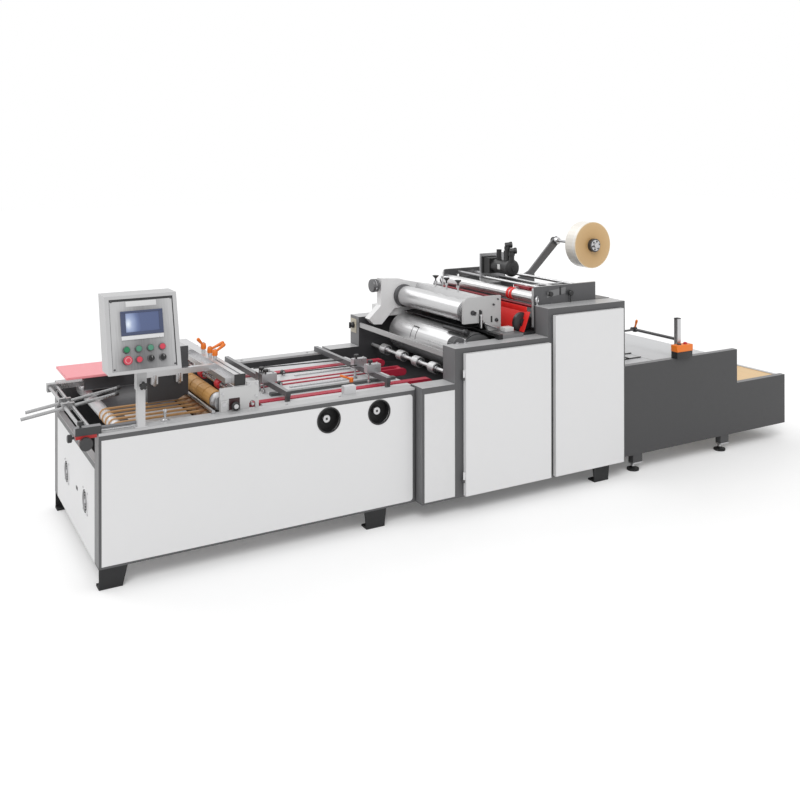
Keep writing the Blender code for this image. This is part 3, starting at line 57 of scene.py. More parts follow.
# Shader maths: a socket that takes part in sums, so that a mask reads like its formula.
# Each sum adds a Math node, and make() adds any other node with its settings and values.
class Shade:
    def __init__(self, socket):
        self.socket = socket
        self.tree = socket.id_data

    def make(self, kind, settings=None, values=None, output=0):
        made = self.tree.nodes.new(kind)
        for key, value in (settings or {}).items():
            if key == "stops":
                ramp = made.color_ramp.elements
                while len(ramp) < len(value):
                    ramp.new(0.5)
                for stop, (place, colour) in zip(ramp, value):
                    stop.position = place
                    stop.color = (*colour, 1)
            else:
                setattr(made, key, value)
        for key, value in (values or {}).items():
            if isinstance(value, Shade):
                self.tree.links.new(value.socket, made.inputs[key])
            else:
                made.inputs[key].default_value = value
        return Shade(made.outputs[output])

    def sum(self, operation, first, second):
        return self.make("ShaderNodeMath", {"operation": operation}, {0: first, 1: second})

    def __add__(self, other):
        return self.sum('ADD', self, other)

    __radd__ = __add__

    def __sub__(self, other):
        return self.sum('SUBTRACT', self, other)

    def __rsub__(self, other):
        return self.sum('SUBTRACT', other, self)

    def __mul__(self, other):
        return self.sum('MULTIPLY', self, other)

    __rmul__ = __mul__

    def __truediv__(self, other):
        return self.sum('DIVIDE', self, other)

    def __gt__(self, other):
        return self.sum('GREATER_THAN', self, other)

    def __lt__(self, other):
        return self.sum('LESS_THAN', self, other)

    def __abs__(self):
        return self.sum('ABSOLUTE', self, 0)

    def within(self, low, high):
        return (self > low) * (self < high)

    def around(self, other):
        """The distance from an axis, from the offsets along two directions."""
        return self.sum('POWER', self * self + other * other, 0.5)

    def either(self, other):
        return self.sum('MAXIMUM', self, other)

    def wave(self, pitch):
        """From 0 to 1 and back to 0 along each pitch, at regular steps."""
        return self.sum('PINGPONG', self, pitch / 2) / (pitch / 2)

    def axes(self):
        split = self.tree.nodes.new("ShaderNodeSeparateXYZ")
        self.tree.links.new(self.socket, split.inputs[0])
        return [Shade(plug) for plug in split.outputs]

    def mix(self, off, on, blend='MIX'):
        off = (*off, 1) if isinstance(off, tuple) else off
        on = (*on, 1) if isinstance(on, tuple) else on
        return self.make("ShaderNodeMix", {"data_type": 'RGBA', "blend_type": blend},
                         {0: self, 6: off, 7: on}, 2)

    def noise(self, scale, detail=2.0, stretch=(1, 1, 1), roughness=0.5):
        moved = self.make("ShaderNodeMapping", {}, {"Vector": self, "Scale": stretch})
        return self.make("ShaderNodeTexNoise", {},
                         {"Vector": moved, "Scale": scale, "Detail": detail,
                          "Roughness": roughness})


def new_finish(name):
    """A material, its shader and the place of a point on the piece, in the machine's metres."""
    made = bpy.data.materials.new(name)
    made.use_nodes = True
    shader = made.node_tree.nodes["Principled BSDF"]
    place = Shade(made.node_tree.nodes.new("ShaderNodeTexCoord").outputs["Object"])
    return made, shader, place


def feed(shader, **values):
    """Sets or links the shader's sockets; an underscore stands for a space."""
    for key, value in values.items():
        plug = shader.inputs[key.replace("_", " ")]
        if isinstance(value, Shade):
            value.tree.links.new(value.socket, plug)
        else:
            plug.default_value = (*value, 1) if isinstance(value, tuple) else value


# Floor and backdrop: a plain white sweep, which the lamps bring just to white.
# The shadow under the machine stays on it, soft and grey.
bpy.ops.object.select_all(action='DESELECT')
bpy.ops.mesh.primitive_plane_add(size=60, location=(0, 0, -0.001))
floor = bpy.context.object
floor.name = "studio_floor"
bpy.ops.object.transform_apply(location=True)
floor_finish, floor_shader, floor_place = new_finish("studio_white")
seen = Shade(floor_finish.node_tree.nodes.new("ShaderNodeLightPath").outputs["Is Camera Ray"])
feed(floor_shader, Base_Color=floor_place.noise(0.6, 2).mix((0.90,) * 3, (0.92,) * 3),
     Roughness=0.9, Emission_Color=seen.mix((0, 0, 0), (1, 1, 1)), Emission_Strength=0.12)
floor_shader.inputs["Specular IOR Level"].default_value = 0.0
floor.data.materials.append(floor_finish)

# Studio light: an even white surround, which paint and metal mirror, and two soft lamps.
# The stronger one stands high at the left of the operator's side, the weaker behind.
surround = 0.70
world = bpy.data.worlds.new("studio")
bpy.context.scene.world = world
world.use_nodes = True
backdrop = world.node_tree.nodes["Background"]
backdrop.inputs["Color"].default_value = (1, 1, 1, 1)
ways = world.node_tree.nodes.new("ShaderNodeLightPath").outputs
shown = Shade(ways["Is Camera Ray"]).either(Shade(ways["Is Glossy Ray"]))
shown = shown.either(Shade(ways["Is Transmission Ray"]))
strength = shown * (1 - surround) + surround
world.node_tree.links.new(strength.socket, backdrop.inputs["Strength"])
for lamp_name, power, spread, turn in (("key_lamp", 1.1, 30, (42, 0, -34)),
                                       ("back_lamp", 0.5, 40, (-48, 0, 25))):
    bpy.ops.object.light_add(type='SUN', rotation=[math.radians(angle) for angle in turn])
    lamp = bpy.context.object
    lamp.name = lamp_name
    lamp.data.energy = power
    lamp.data.angle = math.radians(spread)

# White powder coat: panels of the feed, doors and covers of the press, and the infeed deck.
# Pressed sheet, stoved semi-gloss: an even coat with a fine orange peel and a little dust.
white_coat = ((0.730, 0.730, 0.735), 0.38, 0.0)
# Near-black: black parts, and painted shade in holes, slots, recesses and along the floor.
black_and_painted_shade = ((0.012, 0.012, 0.013), 0.6, 0.0)


def layered(name, base, coats=lambda x, y, z: (), varied=0.05, grain=(1, 1, 1), fine=31,
            peel=0.0001, gloss=0.5, scuffed=0.2):
    """A finish of several coats: the base, then each (mask, coat) over it, in turn.

    A mask is a sum of x, y and z, and a coat is (colour, roughness, metallic).
    """
    made, shader, place = new_finish(name)
    x, y, z = place.axes()
    clouds = place.noise(2.3, 4, roughness=0.6)
    streaks = place.noise(fine, 6, grain, 0.7)
    colour, rough, metal = base
    for cover, (next_colour, next_rough, next_metal) in coats(x, y, z):
        colour = cover.mix(colour, next_colour)
        rough = cover * (next_rough - rough) + rough
        metal = cover * (next_metal - metal) + metal
    tint = (clouds * 0.5 + streaks * 0.5).mix((1 - varied * 2,) * 3, (1.0,) * 3)
    feed(shader, Base_Color=(clouds * 0 + 1).mix(colour, tint, 'MULTIPLY'),
         Roughness=(streaks - 0.5) * scuffed + rough, Metallic=metal,
         Normal=place.make("ShaderNodeBump", {}, {"Strength": 0.6, "Distance": peel,
                                                  "Height": place.noise(fine * 12, 2, grain)}))
    shader.inputs["Specular IOR Level"].default_value = gloss
    return made


def dress(finish, *names):
    """Gives CAD nodes a finish in place of their plain one."""
    for name in names:
        nodes[name].data.materials.clear()
        nodes[name].data.materials.append(finish)


dress(layered("white_powder_coat", white_coat, varied=0.015), "feed_front_panel",
      "feed_rear_panel", "press_door", "tall_door", "press_rear_cover", "tall_rear_cover")

# Frame coat: dark grey on the walls, housings and delivery, stoved on welded sheet metal.
# Top faces are painted paler as a painted highlight, and the near wall's upper edge has a painted
# highlight line.
grey_coat = ((0.092, 0.092, 0.095), 0.42, 0.0)
dark_paint_and_shade = ((0.045, 0.045, 0.048), 0.5, 0.0)
painted_top_highlight = ((0.50, 0.50, 0.505), 0.35, 0.1)
mid_coat = ((0.165, 0.165, 0.17), 0.42, 0.0)
feed_end_x = -2.188
feed_outer = 0.577
crank_centres = ((-1.032, 0.612), (-0.736, 0.612))
for side, word in ((-1, "front"), (1, "rear")):
    def wall_coats(x, y, z):
        """Painted shade inside, along the floor and in the near wall's crank recesses; painted
        light on the tops, the end faces and the near wall's upper edge.
        """
        coats = [(y * side < 0.4975, dark_paint_and_shade), (z > 0.702, painted_top_highlight),
                 ((x < feed_end_x + 0.001) * (z > 0.1), mid_coat), (z < 0.0925, black_and_painted_shade)]
        if side < 0:
            coats += [(((x - centre_x).around(z - centre_z) < 0.0655) * (y > -0.5768), black_and_painted_shade)
                      for centre_x, centre_z in crank_centres]
            coats.append(((z > 0.7145) * (x > -1.2), ((0.62, 0.62, 0.63), 0.4, 0.0)))
        return coats

    dress(layered(word + "_wall_paint", grey_coat, wall_coats), "feed_" + word + "_wall")

# Feed end: a white panel in its grey frame, with two round fan grilles, and the frame's top
# painted paler as painted light.
# Behind each grille the fan's mouth is a black disc of painted shade, and a slot mark lies between
# them.
fan_centres = ((-0.280, 0.314), (0.201, 0.314))
dress(layered("feed_end_paint", grey_coat, lambda x, y, z: [
    (z > 0.558, painted_top_highlight),
    ((x < feed_end_x + 0.003) * (abs(y) < 0.49) * (z < 0.53), white_coat)]), "feed_end_wall")
dress(layered("end_panel_paint", white_coat, lambda x, y, z: [
    ((y - centre_y).around(z - centre_z) < 0.0546, black_and_painted_shade)
    for centre_y, centre_z in fan_centres], varied=0.015), "feed_end_panel")


def settle(name, finish, body="frame"):
    """Ends the modelling of a piece: its place goes into its mesh and it gets its finish."""
    made = bpy.context.object
    bpy.ops.object.mode_set(mode='OBJECT')
    bpy.ops.object.transform_apply(location=True, rotation=True, scale=True)
    made.name = name
    made.data.name = name
    made.data.materials.clear()
    made.data.materials.append(finish)
    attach(made, body)
    return made


up, down = (0, 0, 1), (0, 0, -1)
near, far = (0, -1, 0), (0, 1, 0)
ahead, back = (1, 0, 0), (-1, 0, 0)
smooth_below = math.radians(40)


def stand(name, start, way, finish, body):
    """Ends a round piece, modelled upright at the origin: stands it on a point, turned one way."""
    bpy.ops.mesh.select_all(action='SELECT')
    bpy.ops.mesh.normals_make_consistent(inside=False)
    bpy.ops.object.mode_set(mode='OBJECT')
    bpy.ops.object.shade_smooth_by_angle(angle=smooth_below)
    made = bpy.context.object
    made.rotation_mode = 'QUATERNION'
    made.rotation_quaternion = Vector(up).rotation_difference(Vector(way))
    made.location = start
    return settle(name, finish, body)


def disc(radius, sides):
    """A filled circle at the origin, selected in edit mode."""
    bpy.ops.object.select_all(action='DESELECT')
    bpy.ops.mesh.primitive_circle_add(vertices=sides, radius=radius, fill_type='NGON',
                                      location=(0, 0, 0))
    bpy.ops.object.mode_set(mode='EDIT')
    bpy.ops.mesh.select_all(action='SELECT')


def lathe(name, steps, start, way, finish, body="frame", sides=32):
    """A turned piece: a disc, pulled out step by step to each (radius, distance), in mm."""
    steps = [(radius / 1000, place / 1000) for radius, place in steps]
    radius, place = steps[0]
    disc(radius, sides)
    bpy.ops.transform.translate(value=(0, 0, place))
    for next_radius, next_place in steps[1:]:
        bpy.ops.mesh.extrude_region_move(
            TRANSFORM_OT_translate={"value": (0, 0, next_place - place)})
        share = next_radius / radius
        bpy.ops.transform.resize(value=(share, share, 1), center_override=(0, 0, next_place))
        radius, place = next_radius, next_place
    return stand(name, start, way, finish, body)


def ring(name, inner, outer, depth, start, way, finish, body="frame", sides=40):
    """A flat ring: a disc is inset, its middle taken out, and the rest given its depth."""
    disc(outer, sides)
    bpy.ops.mesh.inset(thickness=(outer - inner) * math.cos(math.pi / sides))
    bpy.ops.mesh.delete(type='ONLY_FACE')
    bpy.ops.mesh.select_all(action='SELECT')
    bpy.ops.mesh.extrude_region_move(TRANSFORM_OT_translate={"value": (0, 0, depth)})
    return stand(name, start, way, finish, body)


def box(name, low, high, finish, edge=0.001, body="frame", turn=None):
    """A block with its edges broken; turn is (angle in degrees, axis, point) where it leans."""
    bpy.ops.object.select_all(action='DESELECT')
    centre = [(one + two) / 2 for one, two in zip(low, high)]
    size = [two - one for one, two in zip(low, high)]
    bpy.ops.mesh.primitive_cube_add(size=1, location=centre)
    bpy.ops.object.mode_set(mode='EDIT')
    bpy.ops.mesh.select_all(action='SELECT')
    bpy.ops.transform.resize(value=size, center_override=centre)
    if edge:
        bpy.ops.mesh.bevel(offset=edge, segments=3, affect='EDGES')
    if turn:
        bpy.ops.mesh.select_all(action='SELECT')
        bpy.ops.transform.rotate(value=-math.radians(turn[0]), orient_axis=turn[1],
                                 center_override=turn[2])
    bpy.ops.object.mode_set(mode='OBJECT')
    bpy.ops.object.shade_smooth_by_angle(angle=smooth_below)
    return settle(name, finish, body)


bare_steel = ((0.62, 0.62, 0.63), 0.28, 1.0)
bright_steel = layered("bright_steel", bare_steel, varied=0.06, fine=60)
black_plastic = layered("black_plastic", ((0.02, 0.02, 0.021), 0.4, 0.0), varied=0.06)
wire_paint = layered("grille_wire", ((0.55, 0.55, 0.56), 0.35, 0.6))
for number, (centre_y, centre_z) in enumerate(fan_centres, 1):
    for turn_number, radius in enumerate((0.048, 0.035, 0.022), 1):
        ring(f"fan_grille_{number}_ring_{turn_number}", radius - 0.0016, radius + 0.0016, 0.003,
             (feed_end_x - 0.0035, centre_y, centre_z), ahead, wire_paint)
    lathe(f"fan_grille_{number}_cap", [(11, 0), (12, -2), (9, -4.5)],
          (feed_end_x - 0.0005, centre_y, centre_z), ahead, wire_paint)
    for sign_y in (-1, 1):
        for sign_z in (-1, 1):
            lathe(f"fan_screw_{number}_{sign_y + 1}{sign_z + 1}", [(5, 1), (5, -3), (3, -4.5)],
                  (feed_end_x, centre_y + sign_y * 0.052, centre_z + sign_z * 0.052), ahead,
                  bright_steel, sides=12)
box("feed_end_slot_mark", (feed_end_x - 0.002, -0.084, 0.302), (feed_end_x + 0.001, -0.048, 0.318),
    black_plastic, 0.0008)

# Crank spindles: two steel hubs in recesses of the near wall, for a hand crank; the recesses are
# painted black as shade.
# A rubber rim lines each recess, and the hub's square socket for the crank is a black square of
# painted shade.
dress(layered("spindle_steel", ((0.68, 0.68, 0.69), 0.3, 1.0), varied=0.08, fine=80),
      "crank_spindle_1", "crank_spindle_2")
for number, (centre_x, centre_z) in enumerate(crank_centres, 1):
    ring(f"crank_rim_{number}", 0.0605, 0.0675, 0.006, (centre_x, -feed_outer - 0.0022, centre_z),
         far, black_plastic, sides=48)
    box(f"crank_socket_{number}", (centre_x - 0.006, -0.5516, centre_z - 0.006),
        (centre_x + 0.006, -0.5508, centre_z + 0.006), black_plastic, 0.0003,
        "crank_" + str(number))

# Press housings: the same grey coat over stepped boxes, with painted light on the ledges
# and the left-facing step faces, and painted shade inside and along the floor.
# The white sheet of the joining section lies between the feed and the press door.
for side, word in ((-1, "front"), (1, "rear")):
    dress(layered(word + "_housing_paint", grey_coat, lambda x, y, z: [
        (y * side < 0.5165, dark_paint_and_shade),
        ((z.within(0.7205, 0.7215) * (x < -0.297)).either(
            z.within(0.9125, 0.9135) * (x < 0.3545)).either(z > 1.0785), painted_top_highlight),
        ((y * side).within(0.52, 0.6385) * (z < 1.0785) * (x.within(-0.507, -0.505).either(
            x.within(-0.297, -0.295)).either(x.within(0.355, 0.357))), mid_coat),
        ((y * side).within(0.636, 0.6384) * x.within(-0.4921, -0.2955)
         * z.within(0.0999, 0.6881), white_coat),
        (z < 0.0895, black_and_painted_shade)]), "press_" + word + "_housing")
dress(layered("base_paint", dark_paint_and_shade), "press_base", "film_cover")

# Delivery frame: dark grey sheet with levelling feet, and the wall under its far end.
# The feet are black pads on threaded stems.
delivery_coat = ((0.056, 0.056, 0.058), 0.5, 0.0)
# Its tops, and the upper edge of the lower plate at the far end, are painted paler as painted
# light.
dress(layered("delivery_paint", delivery_coat, lambda x, y, z: [
    ((z > 0.6692).either((z > 0.4432) * (x > 1.9755) * (z < 0.4446)), mid_coat),
    (z < 0.0585, bare_steel), (z < 0.0125, black_and_painted_shade)]), "delivery_front_side",
    "delivery_rear_side", "delivery_end_wall")
for side, word in ((-1, "front"), (1, "rear")):
    for number, place in enumerate((1.074, 1.855), 1):
        centre = (place, side * 0.582)
        lathe(f"delivery_lock_nut_{word}_{number}", [(14, 25.5), (14, 36)], (*centre, 0), up,
              bright_steel, sides=6)
        lathe(f"delivery_foot_collar_{word}_{number}", [(30, 11.5), (22, 16), (14, 24)],
              (*centre, 0), up, black_plastic)

# Loading rollers: two steel rollers, carrying five flat tan belts of woven fabric.
# The inner roller is brown, and the belts are darker where they run over it.
tan_coat = ((0.52, 0.28, 0.11), 0.62, 0.0)
darker_tan_coat = ((0.36, 0.17, 0.07), 0.6, 0.0)


def on_belt(x, y, z):
    """The five belts: bands 18 mm wide, at a pitch of 68 mm."""
    phase = y.sum('MODULO', y + 0.400, 0.068)
    return (phase < 0.0181) * y.within(-0.4005, -0.1095)


dress(layered("loading_belt_and_roller", ((0.72, 0.72, 0.73), 0.35, 0.75), lambda x, y, z: [
    (x > -1.72, ((0.40, 0.25, 0.15), 0.4, 0.4)), (on_belt(x, y, z), tan_coat),
    (on_belt(x, y, z) * (x > -1.66), darker_tan_coat)], varied=0.10, grain=(6, 1, 6), fine=70,
    peel=0.0003), "infeed_belts")
dress(layered("deck_paint", ((0.055, 0.055, 0.06), 0.45, 0.0), lambda x, y, z: [
    ((y < -0.10) * (x > -1.968), white_coat)]), "infeed_deck")
dress(layered("stop_bar_steel", bare_steel, varied=0.08, grain=(1, 0.05, 1), fine=90),
      "infeed_stop_bar")

# Timing roller: a steel tube with tan rubber rings, and a bare grey cone at its near end.
# The rings are ground, so fine turning marks run round them.
timing_x, timing_z = -1.574, 0.750
ring_coat = ((0.62, 0.33, 0.10), 0.5, 0.0)
dress(layered("timing_rubber", ((0.17, 0.14, 0.12), 0.5, 0.2), lambda x, y, z: [
    (y > -0.4005, ring_coat),
    ((y > -0.4005) * ((x - timing_x).around(z - timing_z) < 0.0375),
     ((0.22, 0.11, 0.05), 0.6, 0.0)),
    (y < -0.4005, ((0.45, 0.45, 0.46), 0.35, 0.8)),
    ((x - timing_x).around(z - timing_z) < 0.0125, bare_steel)],
    varied=0.12, grain=(1, 8, 1), fine=50), "timing_roller")
lathe("timing_roller_cone", [(36.5, 0), (43, 6), (43, 30), (30, 52), (20, 60)],
      (timing_x, -0.415, timing_z), near,
      layered("cone_alloy", ((0.50, 0.50, 0.51), 0.38, 0.8), varied=0.08), "timing")

# Red wheels that press the cartons on the belts: rubber tyres on a bright steel shaft
# behind the bridge, each held in its place by a collar on both sides.
wheel_x, wheel_z = -1.520, 0.800
wheel_planes = (-0.300, -0.020, 0.260)
dress(layered("wheel_rubber", bare_steel, lambda x, y, z: [
    ((x - wheel_x).around(z - wheel_z) > 0.0112, ((0.60, 0.03, 0.045), 0.45, 0.0))], varied=0.08),
    "wheel_shaft")
for number, plane in enumerate(wheel_planes, 1):
    for end in (-1, 1):
        ring(f"wheel_collar_{number}_{end + 1}", 0.0103, 0.017, 0.010,
             (wheel_x, plane + end * 0.0262, wheel_z), (0, end, 0), bright_steel, sides=24)

# Bridge beam: an aluminium extrusion on two cast brackets, with a black cap on its end.
# Three orange clamp levers lock the carriage that carries the stack guides.
alloy = ((0.66, 0.66, 0.67), 0.36, 0.9)
orange_coat = ((0.86, 0.20, 0.015), 0.4, 0.0)
dress(layered("beam_alloy", alloy, lambda x, y, z: [
    ((y < -0.4895) * (x > -1.5115), black_and_painted_shade),
    (z.within(0.8355, 0.8405) * (x > -1.4535), black_and_painted_shade)], varied=0.07, grain=(1, 0.04, 1),
    fine=90), "feed_bridge")
# A black disc round the key pin is painted shade in its key slot.
cast_alloy = layered("cast_alloy", ((0.60, 0.60, 0.60), 0.42, 0.35), lambda x, y, z: [
    ((x + 1.4225).around(z - 0.736) < 0.0115, black_and_painted_shade)], varied=0.07, fine=45, peel=0.0004)
dress(cast_alloy, "bridge_bracket_front", "bridge_bracket_rear")
orange_plastic = layered("orange_plastic", orange_coat, varied=0.06, fine=50)
box("bridge_end_cap", (-1.5105, -0.4935, 0.8285), (-1.4535, -0.4895, 0.8855), black_plastic,
    0.0015)
for number, (plane, lean, reach, size) in enumerate(((0.096, 190, 0.040, 0.62),
                                                     (-0.018, -5, 0.110, 0.90),
                                                     (-0.102, 25, 0.110, 0.86)), 1):
    base = Vector((-1.482, plane, 0.905))
    lathe(f"clamp_lever_hub_{number}", [(13.5, 0), (15, 4), (15, 20), (12.5, 30), (10, 33)], base,
          up, orange_plastic, sides=24)
    swing = math.radians(lean)
    lathe(f"clamp_lever_{number}", [(7.5, 0), (6.8, 30 * size), (8.5, 58 * size), (9.8, 80 * size),
                                    (8, 90 * size), (4, 94 * size)], base + Vector((0, 0, 0.018)),
          (reach * math.cos(swing), reach * math.sin(swing), 0.048), orange_plastic, sides=20)
    lathe(f"clamp_lever_screw_{number}", [(4.5, 0), (4.5, 5)], base + Vector((0, 0, 0.0325)), up,
          bright_steel, sides=12)

# Near bracket: a cast plate whose window shows the red wheel as a dark red sheet of painted shade,
# and a black round knob.
# Screws with washers hold it, and a pin stands out of its key slot.
bracket_face = -0.5055
for number, (place, height) in enumerate(((-1.4375, 0.832), (-1.4000, 0.832), (-1.578, 0.800),
                                          (-1.4035, 0.770)), 1):
    lathe(f"bracket_screw_{number}", [(8.5, 0), (8.5, 2), (5.5, 2.2), (5.5, 7), (3.5, 8)],
          (place, bracket_face, height), near, bright_steel, sides=20)
knob_centre = (-1.5165, -0.500, 0.738)
lathe("bracket_knob", [(10, -12), (10, 10), (19, 13), (21, 18), (21, 30), (17, 34), (9, 35)],
      knob_centre, near, black_plastic, sides=28)
# The window's dark red sheet is painted shade, for the red wheel behind it.
box("bracket_window_shade", (-1.5445, -0.502, 0.7152), (-1.4885, -0.498, 0.7735),
    layered("window_painted_shade", ((0.040, 0.012, 0.014), 0.5, 0.0)), 0.0008)
lathe("bracket_knob_dial", [(12.5, 34.5), (11.5, 37), (5, 37.2)], knob_centre, near, bright_steel,
      sides=24)
lathe("bracket_key_pin", [(8, -6), (8, 12), (6, 15)], (-1.4225, -0.500, 0.733), near, bright_steel,
      sides=20)

# Stack guides: dark painted plates with bare, rubbed lower edges where cartons slide.
# They hang from the bridge carriage on bright round stems.
rubbed = ((0.30, 0.30, 0.31), 0.35, 0.8)
dress(layered("guide_paint", ((0.065, 0.065, 0.07), 0.42, 0.1), lambda x, y, z: [
    (z < 0.7155, rubbed)], varied=0.10), "stack_guide_front", "stack_guide_rear")
for number, place in enumerate((-1.827, -1.699), 1):
    for end, plane in enumerate((-0.158, -0.182), 1):
        lathe(f"guide_stem_{number}_{end}", [(9, 0), (9, 50), (7.5, 54)], (place, plane, 0.856),
              down, bright_steel, sides=20)

# Conveyor table: white beds between crimson belts, whose seams show as darker lines.
# Black idler rollers and steel strips lie between the belts.
bed_top = 0.6864
crimson = ((0.50, 0.022, 0.055), 0.5, 0.0)
dress(layered("bed_paint", ((0.62, 0.62, 0.63), 0.4, 0.0), lambda x, y, z: [
    (z < 0.6435, dark_paint_and_shade)], varied=0.03), "conveyor_table")
dress(layered("belt_red", crimson, lambda x, y, z: [
    ((z > 0.6895) * x.wave(0.31).within(0.0, 0.012), ((0.32, 0.015, 0.04), 0.6, 0.0)),
    (z < 0.650, ((0.25, 0.012, 0.03), 0.6, 0.0))], varied=0.13, grain=(0.3, 8, 1), fine=60,
    peel=0.0003), "belt_lane_front", "belt_lane_middle", "belt_lane_rear")
for number, (start, end, plane) in enumerate(((-1.300, -1.105, -0.015), (-0.930, -0.560, 0.110),
                                              (-1.060, -0.640, -0.130)), 1):
    box(f"belt_strip_{number}", (start, plane - 0.008, bed_top), (end, plane + 0.008, 0.6925),
        bright_steel, 0.001)
for number, (place, plane) in enumerate(((-1.101, -0.080), (-0.985, 0.155), (-1.130, 0.060)), 1):
    lathe(f"belt_idler_{number}", [(6, -16), (12, -14), (14, -10), (14, 10), (12, 14), (6, 16)],
          (place, plane, 0.7035), far, black_plastic, sides=24)
    box(f"idler_bracket_{number}", (place - 0.006, plane - 0.022, bed_top),
        (place + 0.006, plane - 0.0165, 0.712), bright_steel, 0.001)

# Bars across the conveyor: dark bars with bright clamp blocks that hold thin rods.
# Each clamp has a round black knob, and short pushers reach down to the belts.
dress(layered("bar_paint", ((0.11, 0.11, 0.115), 0.4, 0.1), lambda x, y, z: [
    (z > 0.7445, ((0.60, 0.60, 0.61), 0.3, 0.9)),
    ((z > 0.7435) * (z < 0.7446), ((0.30, 0.30, 0.31), 0.4, 0.2))], varied=0.08), "cross_bar_1",
    "cross_bar_2")
clamps = ((-1.188, -0.105), (-1.188, -0.165), (-0.588, -0.080), (-0.588, -0.250))
for number, (place, plane) in enumerate(clamps, 1):
    lathe(f"bar_clamp_knob_{number}",
          [(5, -4), (5, 8), (14, 9), (15.5, 13), (15.5, 21), (13, 24)],
          (place - 0.030, plane, 0.790), up, black_plastic, sides=22)
    lathe(f"bar_clamp_screw_{number}", [(6, -2), (6, 6), (4, 7)], (place + 0.014, plane, 0.7905),
          up, bright_steel, sides=6)
    lathe(f"bar_pusher_{number}", [(4.5, -30), (4.5, 66), (10, 68), (10, 78), (6, 80)],
          (place - 0.046, plane - 0.012, 0.770), down, bright_steel, sides=16)
for number, (start, end) in enumerate((((-0.660, -0.165, 0.772), (-1.160, -0.135, 0.772)),
                                       ((-0.640, 0.060, 0.757), (-1.180, 0.120, 0.757))), 1):
    run = Vector(end) - Vector(start)
    lathe(f"long_thin_rod_{number}", [(3.5, 0), (3.5, run.length * 1000)], start, run,
          black_plastic, sides=12)

# Guide rail beside the near belt: dark steel with a bright top, where cartons slide.
# An orange plastic lever clamps it.
dress(layered("rail_steel", ((0.10, 0.11, 0.11), 0.38, 0.3), lambda x, y, z: [
    (z > 0.7015, ((0.22, 0.23, 0.23), 0.3, 0.6))], varied=0.08), "belt_side_rail")
lathe("rail_lever_hub", [(11, 0), (12, 4), (12, 20), (9, 26)], (-0.735, -0.245, 0.7015), up,
      orange_plastic, sides=20)
lathe("rail_lever", [(6, 0), (5.5, 20), (7.5, 60), (5.5, 68)], (-0.735, -0.245, 0.718),
      (-0.065, 0.030, 0.024), orange_plastic, sides=16)

# Loading end: grey steel rods on cross rods, a slotted bar at the far side and a dark block.
# The block clamps to the wall's end with a red pad and a round black knob.
dress(layered("rod_steel", ((0.42, 0.42, 0.425), 0.28, 0.9), lambda x, y, z: [
    ((y < -0.5285) * (x > -2.2885) * (z > 0.7155), ((0.20, 0.20, 0.21), 0.35, 0.6)),
    ((y < -0.5285) * (z < 0.7155), ((0.45, 0.02, 0.02), 0.4, 0.0)),
    (y < -0.5695, ((0.05, 0.05, 0.052), 0.4, 0.2))], varied=0.06, fine=60), "loading_rods")
lathe("end_clamp_knob", [(6, 0), (6, 10), (17, 12), (18.5, 16), (18.5, 28), (15, 31)],
      (-2.2895, -0.556, 0.706), back, black_plastic, sides=28)
lathe("rod_clamp_knob", [(5, 0), (5, 8), (14, 10), (15.5, 24), (12, 27)], (-2.262, -0.550, 0.7495),
      up, black_plastic, sides=24)
for number, (start, end) in enumerate((((-2.4575, -0.100, 0.699), (-1.996, -0.100, 0.767)),
                                       ((-2.4225, 0.0, 0.704), (-1.965, 0.0, 0.772))), 1):
    lathe(f"rod_tip_{number}", [(9.2, -12), (10.5, -10), (10.5, 4), (6, 8)], end,
          Vector(end) - Vector(start), black_plastic, sides=20)
for number, plane in enumerate((-0.100, 0.0), 1):
    lathe(f"rod_block_screw_{number}", [(7, 0), (7, 5), (4, 6)], (-2.236, plane, 0.7525), up,
          bright_steel, sides=6)

# Near wall fittings: a thin bright rod that lies along the wall's top, an upright steel pin
# on its base, and the round heads of the bolts that hold both walls' cross members.
wall_top = 0.7142
lathe("wall_top_rod", [(5, 0), (5, 150)], (-2.180, -0.548, 0.722), ahead, bright_steel, sides=16)
lathe("wall_pin", [(12, 0), (12, 6), (6.5, 10), (6.5, 40), (9.5, 44), (9.5, 52), (6, 56)],
      (-1.868, -0.520, wall_top), up, bright_steel, sides=20)
box("wall_pin_base", (-1.888, -0.528, wall_top), (-1.846, -0.509, 0.7185), bright_steel, 0.001)
for number, (place, plane) in enumerate(((-1.92, 0.537), (-1.70, 0.537), (-1.25, -0.537),
                                         (-0.95, -0.537), (-1.1, 0.537), (-0.66, 0.537)), 1):
    lathe(f"wall_top_bolt_{number}", [(7, 0), (7, 4), (4.5, 5.5)], (place, plane, wall_top), up,
          bright_steel, sides=16)

# Side tray: pink sheet steel, on a dark red bracket at the far wall.
# Its rim is turned down on three sides.
pink_coat = ((0.90, 0.30, 0.335), 0.4, 0.0)
dress(layered("tray_pink", pink_coat, lambda x, y, z: [
    (z < 0.794, ((0.20, 0.02, 0.02), 0.5, 0.0))], varied=0.04), "side_tray")
tray_finish = layered("tray_rim_pink", pink_coat, varied=0.04)
for name, low, high in (("near", (-2.1885, 0.2135, 0.7905), (-1.898, 0.2165, 0.8025)),
                        ("end", (-2.1895, 0.2145, 0.7905), (-2.1865, 0.530, 0.8025)),
                        ("far", (-1.8995, 0.2145, 0.7905), (-1.8965, 0.530, 0.8025))):
    box("tray_rim_" + name, low, high, tray_finish, 0.0008)

# Press rollers: a chromed plate drum and gluing roller, and a nip shaft with four wheels.
# A thin black outline of the window plate shows on the drum, whose near end is darker and rougher.
drum_x, drum_z, glue_z = 0.002, 0.810, 1.045
nip_x, nip_z = -0.193, 0.722
chrome = ((0.65, 0.65, 0.655), 0.28, 0.8)
dark_steel = ((0.10, 0.10, 0.105), 0.4, 0.8)


